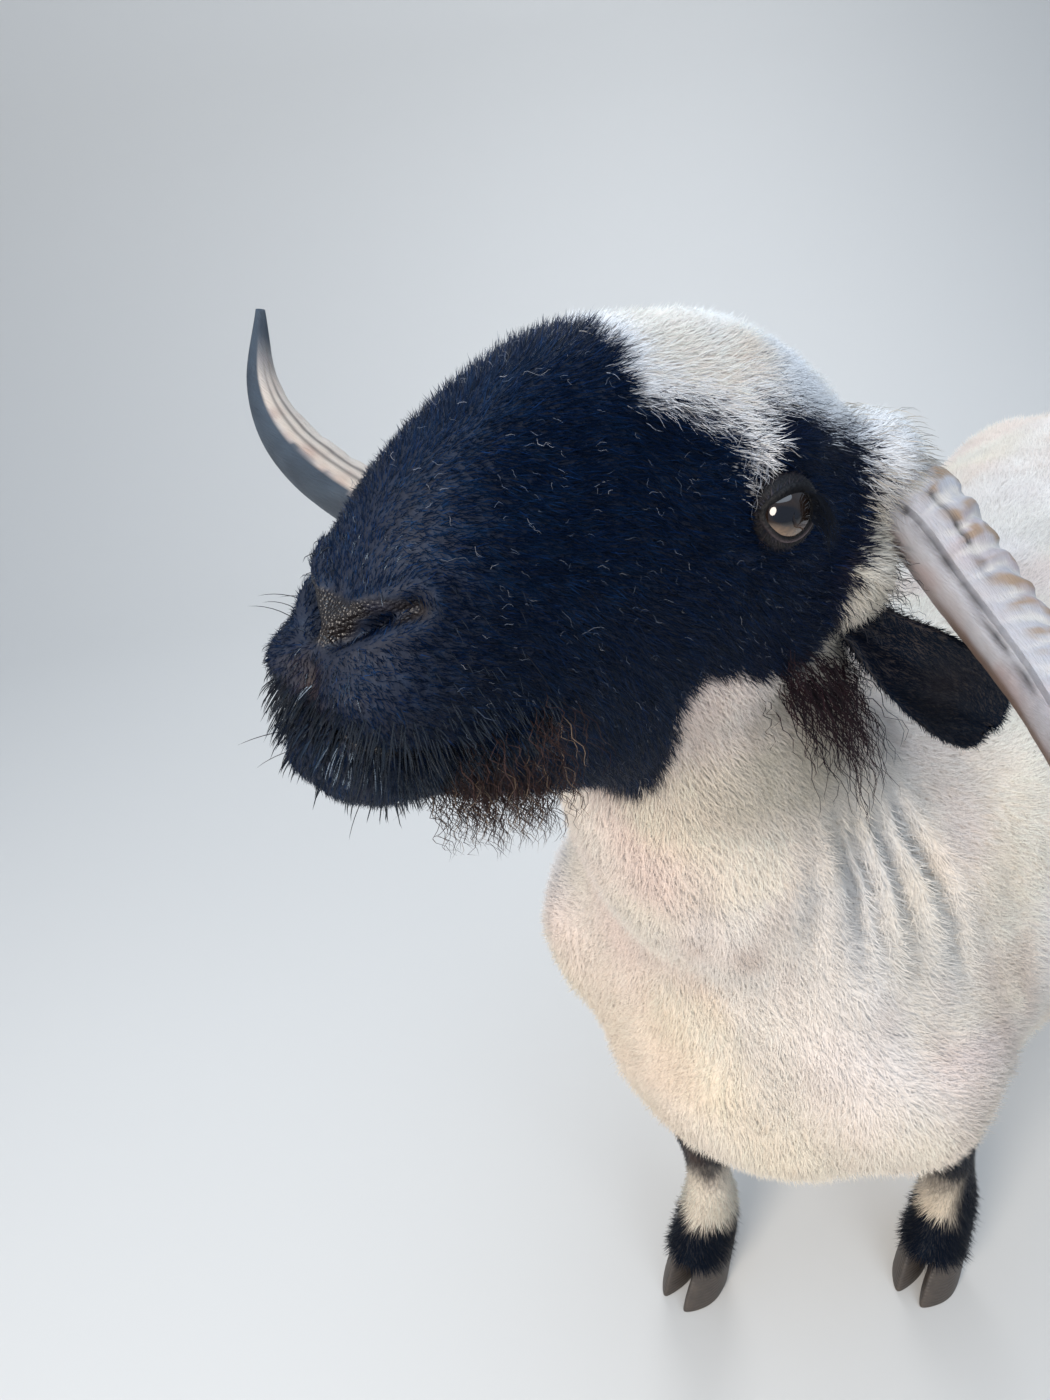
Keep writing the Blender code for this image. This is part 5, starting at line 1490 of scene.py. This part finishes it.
# cheek locks: long maroon-brown curls that hang below and behind each eye patch
places, facing, local = roots_in((0.028, -0.018, -0.080), (0.10, 0.086, -0.030), 150000.0)
line = -0.050 - (0.045 - local[:, 1]) * 0.10
band = np.exp(-(((local[:, 2] - line) / 0.011) ** 2)) * ramp(local[:, 1], -0.018, 0.008) * (1.0
    - ramp(local[:, 1], 0.068, 0.084))
keep = draw.random(len(places)) < band
places, facing, local = places[keep], facing[keep], local[keep]
hang = ramp(local[:, 1], 0.004, 0.030) * (1.0 - ramp(local[:, 1], 0.055, 0.078))
sag = np.column_stack((np.sign(local[:, 0]) * 0.10, same(len(places), 0.05), same(len(places), -1.0)))
strands(
    "cheek_locks", places, facing, facing * 0.55 + sag * 0.6, sag, 0.024 + 0.046 * hang,
        same(len(places), 0.00062),
    toned(len(places), (0.007, 0.005, 0.008), (0.055, 0.018, 0.021), (0.022, 0.009, 0.012)),
    curly, "face_coat", coil=0.0022, turns=2.8, bends=11, dark=0.35, lock=0.010,
)

# dark grey curls over the root of each ear
places, facing, local = roots_in((0.030, -0.030, -0.045), (0.10, 0.040, 0.012), 70000.0)
line = np.hypot(local[:, 1] - 0.008, local[:, 2] + 0.018)
keep = (draw.random(len(places)) < np.exp(-((line / 0.019) ** 2))) & (np.abs(local[:, 0]) > 0.045)
places, facing, local = places[keep], facing[keep], local[keep]
sag = turned_out(np.column_stack((np.sign(local[:, 0]) * 0.9, same(len(places), -0.7),
    same(len(places), -0.5))))
strands(
    "ear_root_curls", places, facing, facing * 0.9 + sag * 0.4, sag, same(len(places), 0.022),
        same(len(places), 0.00050),
    toned(len(places), (0.010, 0.011, 0.015), (0.085, 0.085, 0.095), (0.020, 0.018, 0.022)),
    curly, "short_coat", coil=0.0026, turns=1.8, bends=9, dark=0.3, lock=0.012,
)

# pale stray hairs over the black of the face, most of them very short
for name, number, length, width in (("stray_hairs", 15000.0, 0.0044, 0.00017),
    ("stray_curls", 700.0, 0.0110, 0.00022)):
    places, facing = scatter(root_mesh, lambda p: same(len(p), number), is_face)
    local = in_head(places)
    keep = (outline_depth(local[:, 1:], black_face) > 0.004) & (bare_share(places) < 0.2) & (local[:,
        1] < 0.27)
    keep &= draw.random(len(places)) < 0.35 + 0.65 * mottle(places, 0.03, 16)
    places, facing = places[keep] + facing[keep] * 0.0035, facing[keep]
    sag = body_lie(places, facing)
    strands(
        name, places, facing, facing * 0.3 + sag * 0.6 + draw.normal(0.0, 0.6, (len(places), 3)), sag
            + facing * 0.5,
        same(len(places), length), same(len(places), width),
        toned(len(places), (0.16, 0.20, 0.28), (0.03, 0.05, 0.08), (0.36, 0.35, 0.36)),
        curly, "face_coat", coil=length * 0.12, turns=0.9, bends=3, dark=0.3,
    )

# long pale hairs that cross the upper edge of the black, thickest down the front of each eye
brow_streak = (
    (0.0570, 0.1300, 0.0640), (0.0610, 0.1240, 0.0580), (0.0636, 0.1220, 0.0500), (0.0646, 0.1245, 0.0419),
    (0.0649, 0.1260, 0.0335), (0.0653, 0.1255, 0.0240),
)
places, facing = scatter(root_mesh, lambda p: same(len(p), 320000.0), is_face)
local = in_head(places)
folded = np.column_stack((np.abs(local[:, 0]), local[:, 1:]))
inside = outline_depth(local[:, 1:], black_face)
gap, place_on = line_distance(folded, brow_streak)
chance = 0.20 * np.exp(-(((inside - 0.002) / 0.005) ** 2)) * ramp(local[:, 2], 0.030, 0.055)
chance = np.maximum(chance, 0.75 * np.exp(-((gap / 0.0040) ** 2)) * (1.0 - 0.8 * place_on))
keep = draw.random(len(places)) < chance
places, facing, local, gap = places[keep], facing[keep], local[keep], gap[keep]
places = places + facing * 0.0030
down = turned_out(np.column_stack((same(len(places), 0.0), same(len(places), 0.15),
    same(len(places), -1.0))))
sag = np.where((gap < 0.009)[:, None], down, body_lie(places, facing))
strands(
    "brow_hairs", places, facing, facing * 0.35 + sag, sag + facing * 0.1, same(len(places), 0.0105),
        same(len(places), 0.00030),
    toned(len(places), (0.42, 0.45, 0.52), (0.16, 0.17, 0.21), (0.50, 0.45, 0.40)),
    curly, "face_coat", coil=0.0007, turns=0.7, bends=4, dark=0.3,
)

# short wet stubs above and between the nostrils
places, facing, local = roots_in((0.0, 0.272, -0.010), (0.026, 0.300, 0.022), 150000.0)
keep = (bare_share(places) < 0.5) & (draw.random(len(places)) < 0.35)
places, facing, local = places[keep] + facing[keep] * 0.0008, facing[keep], local[keep]
sag = body_lie(places, facing)
strands(
    "nose_stubs", places, facing, facing * 0.8 + sag * 0.5, sag, same(len(places), 0.0038),
        same(len(places), 0.00050),
    toned(len(places), (0.004, 0.007, 0.014), (0.030, 0.034, 0.045)), wet, "face_coat", bends=2, dark=0.1,
)

# fine grey hair growing out over the root of each horn, and the longer crown hair between them
places, facing, local = roots_in((0.018, -0.045, -0.03), (0.085, 0.075, 0.110), 120000.0)
horn_gap = line_distance(np.column_stack((np.abs(local[:, 0]), local[:, 1:])),
    [row[:3] for row in horn_line[:3]])[0]
keep = (draw.random(len(places)) < np.exp(-((np.maximum(horn_gap - 0.022, 0.0)
    / 0.010) ** 2))) & (horn_gap > 0.012)
places, facing, local = places[keep], facing[keep], local[keep]
outward = turned_out(np.column_stack((np.sign(local[:, 0]), same(len(places), -0.45),
    same(len(places), -0.35))))
strands(
    "horn_base_hair", places, facing, facing * 0.7 + outward * 0.5, outward, same(len(places), 0.0165),
        same(len(places), 0.00045),
    toned(len(places), (0.52, 0.50, 0.46), (0.30, 0.29, 0.29), (0.60, 0.50, 0.38)), wool, "face_coat",
        coil=0.0008, turns=0.8, bends=3, dark=0.2,
)

# Hooves: two dark horn claws on each foot, ringed by growth lines, worn flat below.

hoof_finish = bpy.data.materials.new("hoof_horn")
hoof_finish.use_nodes = True
nodes, links = hoof_finish.node_tree.nodes, hoof_finish.node_tree.links
shader = nodes["Principled BSDF"]
place = nodes.new("ShaderNodeTexCoord")
layers = nodes.new("ShaderNodeTexWave")
layers.bands_direction = "Z"
layers.inputs["Scale"].default_value = 95.0
layers.inputs["Distortion"].default_value = 3.0
layers.inputs["Detail"].default_value = 3.0
links.new(place.outputs["Object"], layers.inputs["Vector"])
wear = nodes.new("ShaderNodeTexNoise")
wear.inputs["Scale"].default_value = 110.0
wear.inputs["Detail"].default_value = 5.0
links.new(place.outputs["Object"], wear.inputs["Vector"])
tone = nodes.new("ShaderNodeMix")
tone.data_type = "RGBA"
tone.inputs[6].default_value = (0.030, 0.026, 0.025, 1.0)
tone.inputs[7].default_value = (0.095, 0.075, 0.060, 1.0)
links.new(wear.outputs["Fac"], tone.inputs[0])
links.new(tone.outputs[2], shader.inputs["Base Color"])
polish = nodes.new("ShaderNodeMapRange")
polish.inputs["To Min"].default_value = 0.35
polish.inputs["To Max"].default_value = 0.65
links.new(wear.outputs["Fac"], polish.inputs["Value"])
links.new(polish.outputs["Result"], shader.inputs["Roughness"])
raised = nodes.new("ShaderNodeBump")
raised.inputs["Strength"].default_value = 0.35
raised.inputs["Distance"].default_value = 0.0008
links.new(layers.outputs["Fac"], raised.inputs["Height"])
links.new(raised.outputs["Normal"], shader.inputs["Normal"])

# height, share of the sole's size and shift backwards of each ring of a claw
claw_levels = (
    (0.0, 0.94, -0.012), (0.0012, 0.985, -0.0115), (0.003, 1.0, -0.011), (0.010, 0.985, -0.008),
    (0.025, 0.94, -0.001), (0.042, 0.89, 0.008), (0.060, 0.84, 0.016),
)
for foot, x, y in (
    ("fore_left", 0.091, 0.059), ("fore_right", -0.091, -0.095), ("hind_left", 0.112, 0.623),
        ("hind_right", -0.112, 0.553),
):
    for inner, where in ((-math.copysign(1.0, x), "inner"), (math.copysign(1.0, x), "outer")):
        rings = []
        for z, shrink, lean in claw_levels:
            ring = []
            for k in range(40):
                c, s = math.cos(2 * math.pi * k / 40), math.sin(2 * math.pi * k / 40)
                toe = max(-s, 0.0)
                across = 0.0145 * c * (1.0 - 0.42 * toe**2) - inner * 0.004 * toe**2
                grown = 1.0 + 0.006 * math.sin(z * 1400.0)
                middle = x + inner * 0.0168
                ring.append(Vector((middle + across * shrink * grown, y + s * 0.034 * shrink * grown
                    + lean, z)))
            rings.append(ring)
        hoof = hide_through(f"hoof_{foot}_{where}", rings)
        finished(hoof, hoof_finish, "hoof", f"claw_{foot}_{where}")

# Studio: a pale floor that turns up into a plain backdrop, soft light from above and in front, the photo's view.

bm = bmesh.new()
profile = [(-4.0, 0.0), (1.8, 0.0)]
for k in range(1, 13):
    angle = k / 12 * math.pi / 2
    profile.append((1.8 + 1.2 * math.sin(angle), 1.2 - 1.2 * math.cos(angle)))
profile.append((3.0, 4.5))
turned = Matrix.Rotation(math.radians(49.0), 4, "Z")
edges = [[bm.verts.new(turned @ Vector((x, y, z))) for x in (-6.0, 6.0)] for y, z in profile]
for a, b in zip(edges, edges[1:]):
    bm.faces.new((a[0], a[1], b[1], b[0]))
floor = mesh_object("floor", bm)
floor.data.shade_smooth()
ground = bpy.data.materials.new("ground")
ground.use_nodes = True
nodes, links = ground.node_tree.nodes, ground.node_tree.links
grain = nodes.new("ShaderNodeTexNoise")
grain.inputs["Scale"].default_value = 180.0
tone = nodes.new("ShaderNodeMapRange")
tone.inputs["To Min"].default_value = 0.62
tone.inputs["To Max"].default_value = 0.72
links.new(grain.outputs["Fac"], tone.inputs["Value"])
links.new(tone.outputs["Result"], nodes["Principled BSDF"].inputs["Roughness"])
nodes["Principled BSDF"].inputs["Base Color"].default_value = (0.60, 0.59, 0.57, 1.0)
floor.data.materials.append(ground)

bpy.context.scene.view_settings.view_transform = "Standard"
world = bpy.data.worlds.new("sky")
bpy.context.scene.world = world
world.use_nodes = True
world.node_tree.nodes["Background"].inputs["Color"].default_value = (0.66, 0.80, 1.0, 1.0)
world.node_tree.nodes["Background"].inputs["Strength"].default_value = 0.42

for name, place, size, power, colour in (
    ("key", (0.4, -2.6, 1.9), 1.3, 70.0, (1.0, 0.91, 0.81)),
    ("overhead", (0.3, -0.3, 3.4), 3.4, 70.0, (0.70, 0.84, 1.0)),
    ("fill", (2.4, -0.9, 2.0), 1.8, 20.0, (0.84, 0.92, 1.0)),
    ("rim", (-1.6, 2.2, 2.4), 1.4, 40.0, (0.95, 0.97, 1.0)),
):
    data = bpy.data.lights.new(name, "AREA")
    data.shape = "DISK"
    data.size = size
    data.energy = power
    data.color = colour
    lamp = bpy.data.objects.new(name, data)
    lamp.location = place
    # the fill lamp lights the near side without showing as a second disc in the eye
    lamp.visible_glossy = name != "fill"
    lamp.rotation_euler = (Vector((0.0, -0.2, 0.6)) - Vector(place)).to_track_quat("-Z", "Y").to_euler()
    bpy.context.scene.collection.objects.link(lamp)

heading, dip, lean = math.radians(49.0), math.radians(31.0), math.radians(10.0)
right = Vector((math.cos(heading), math.sin(heading), 0.0))
ahead = Vector((-math.sin(heading), math.cos(heading), 0.0))
above = Vector((0.0, 0.0, 1.0))
look = ahead * math.cos(dip) - above * math.sin(dip)
top = ahead * math.sin(dip) + above * math.cos(dip)
up_axis = top * math.cos(lean) + right * math.sin(lean)
right_axis = right * math.cos(lean) - top * math.sin(lean)
placed = Matrix((right_axis, up_axis, -look)).transposed().to_4x4()
placed.translation = stand - right * 0.210 - ahead * 0.635 + above * 1.130
data = bpy.data.cameras.new("photo_view")
data.sensor_fit = "VERTICAL"
data.sensor_height = 36.0
data.lens = 1051.0 / 1400.0 * 36.0
camera = bpy.data.objects.new("photo_view", data)
camera.matrix_world = placed
bpy.context.scene.collection.objects.link(camera)
bpy.context.scene.camera = camera
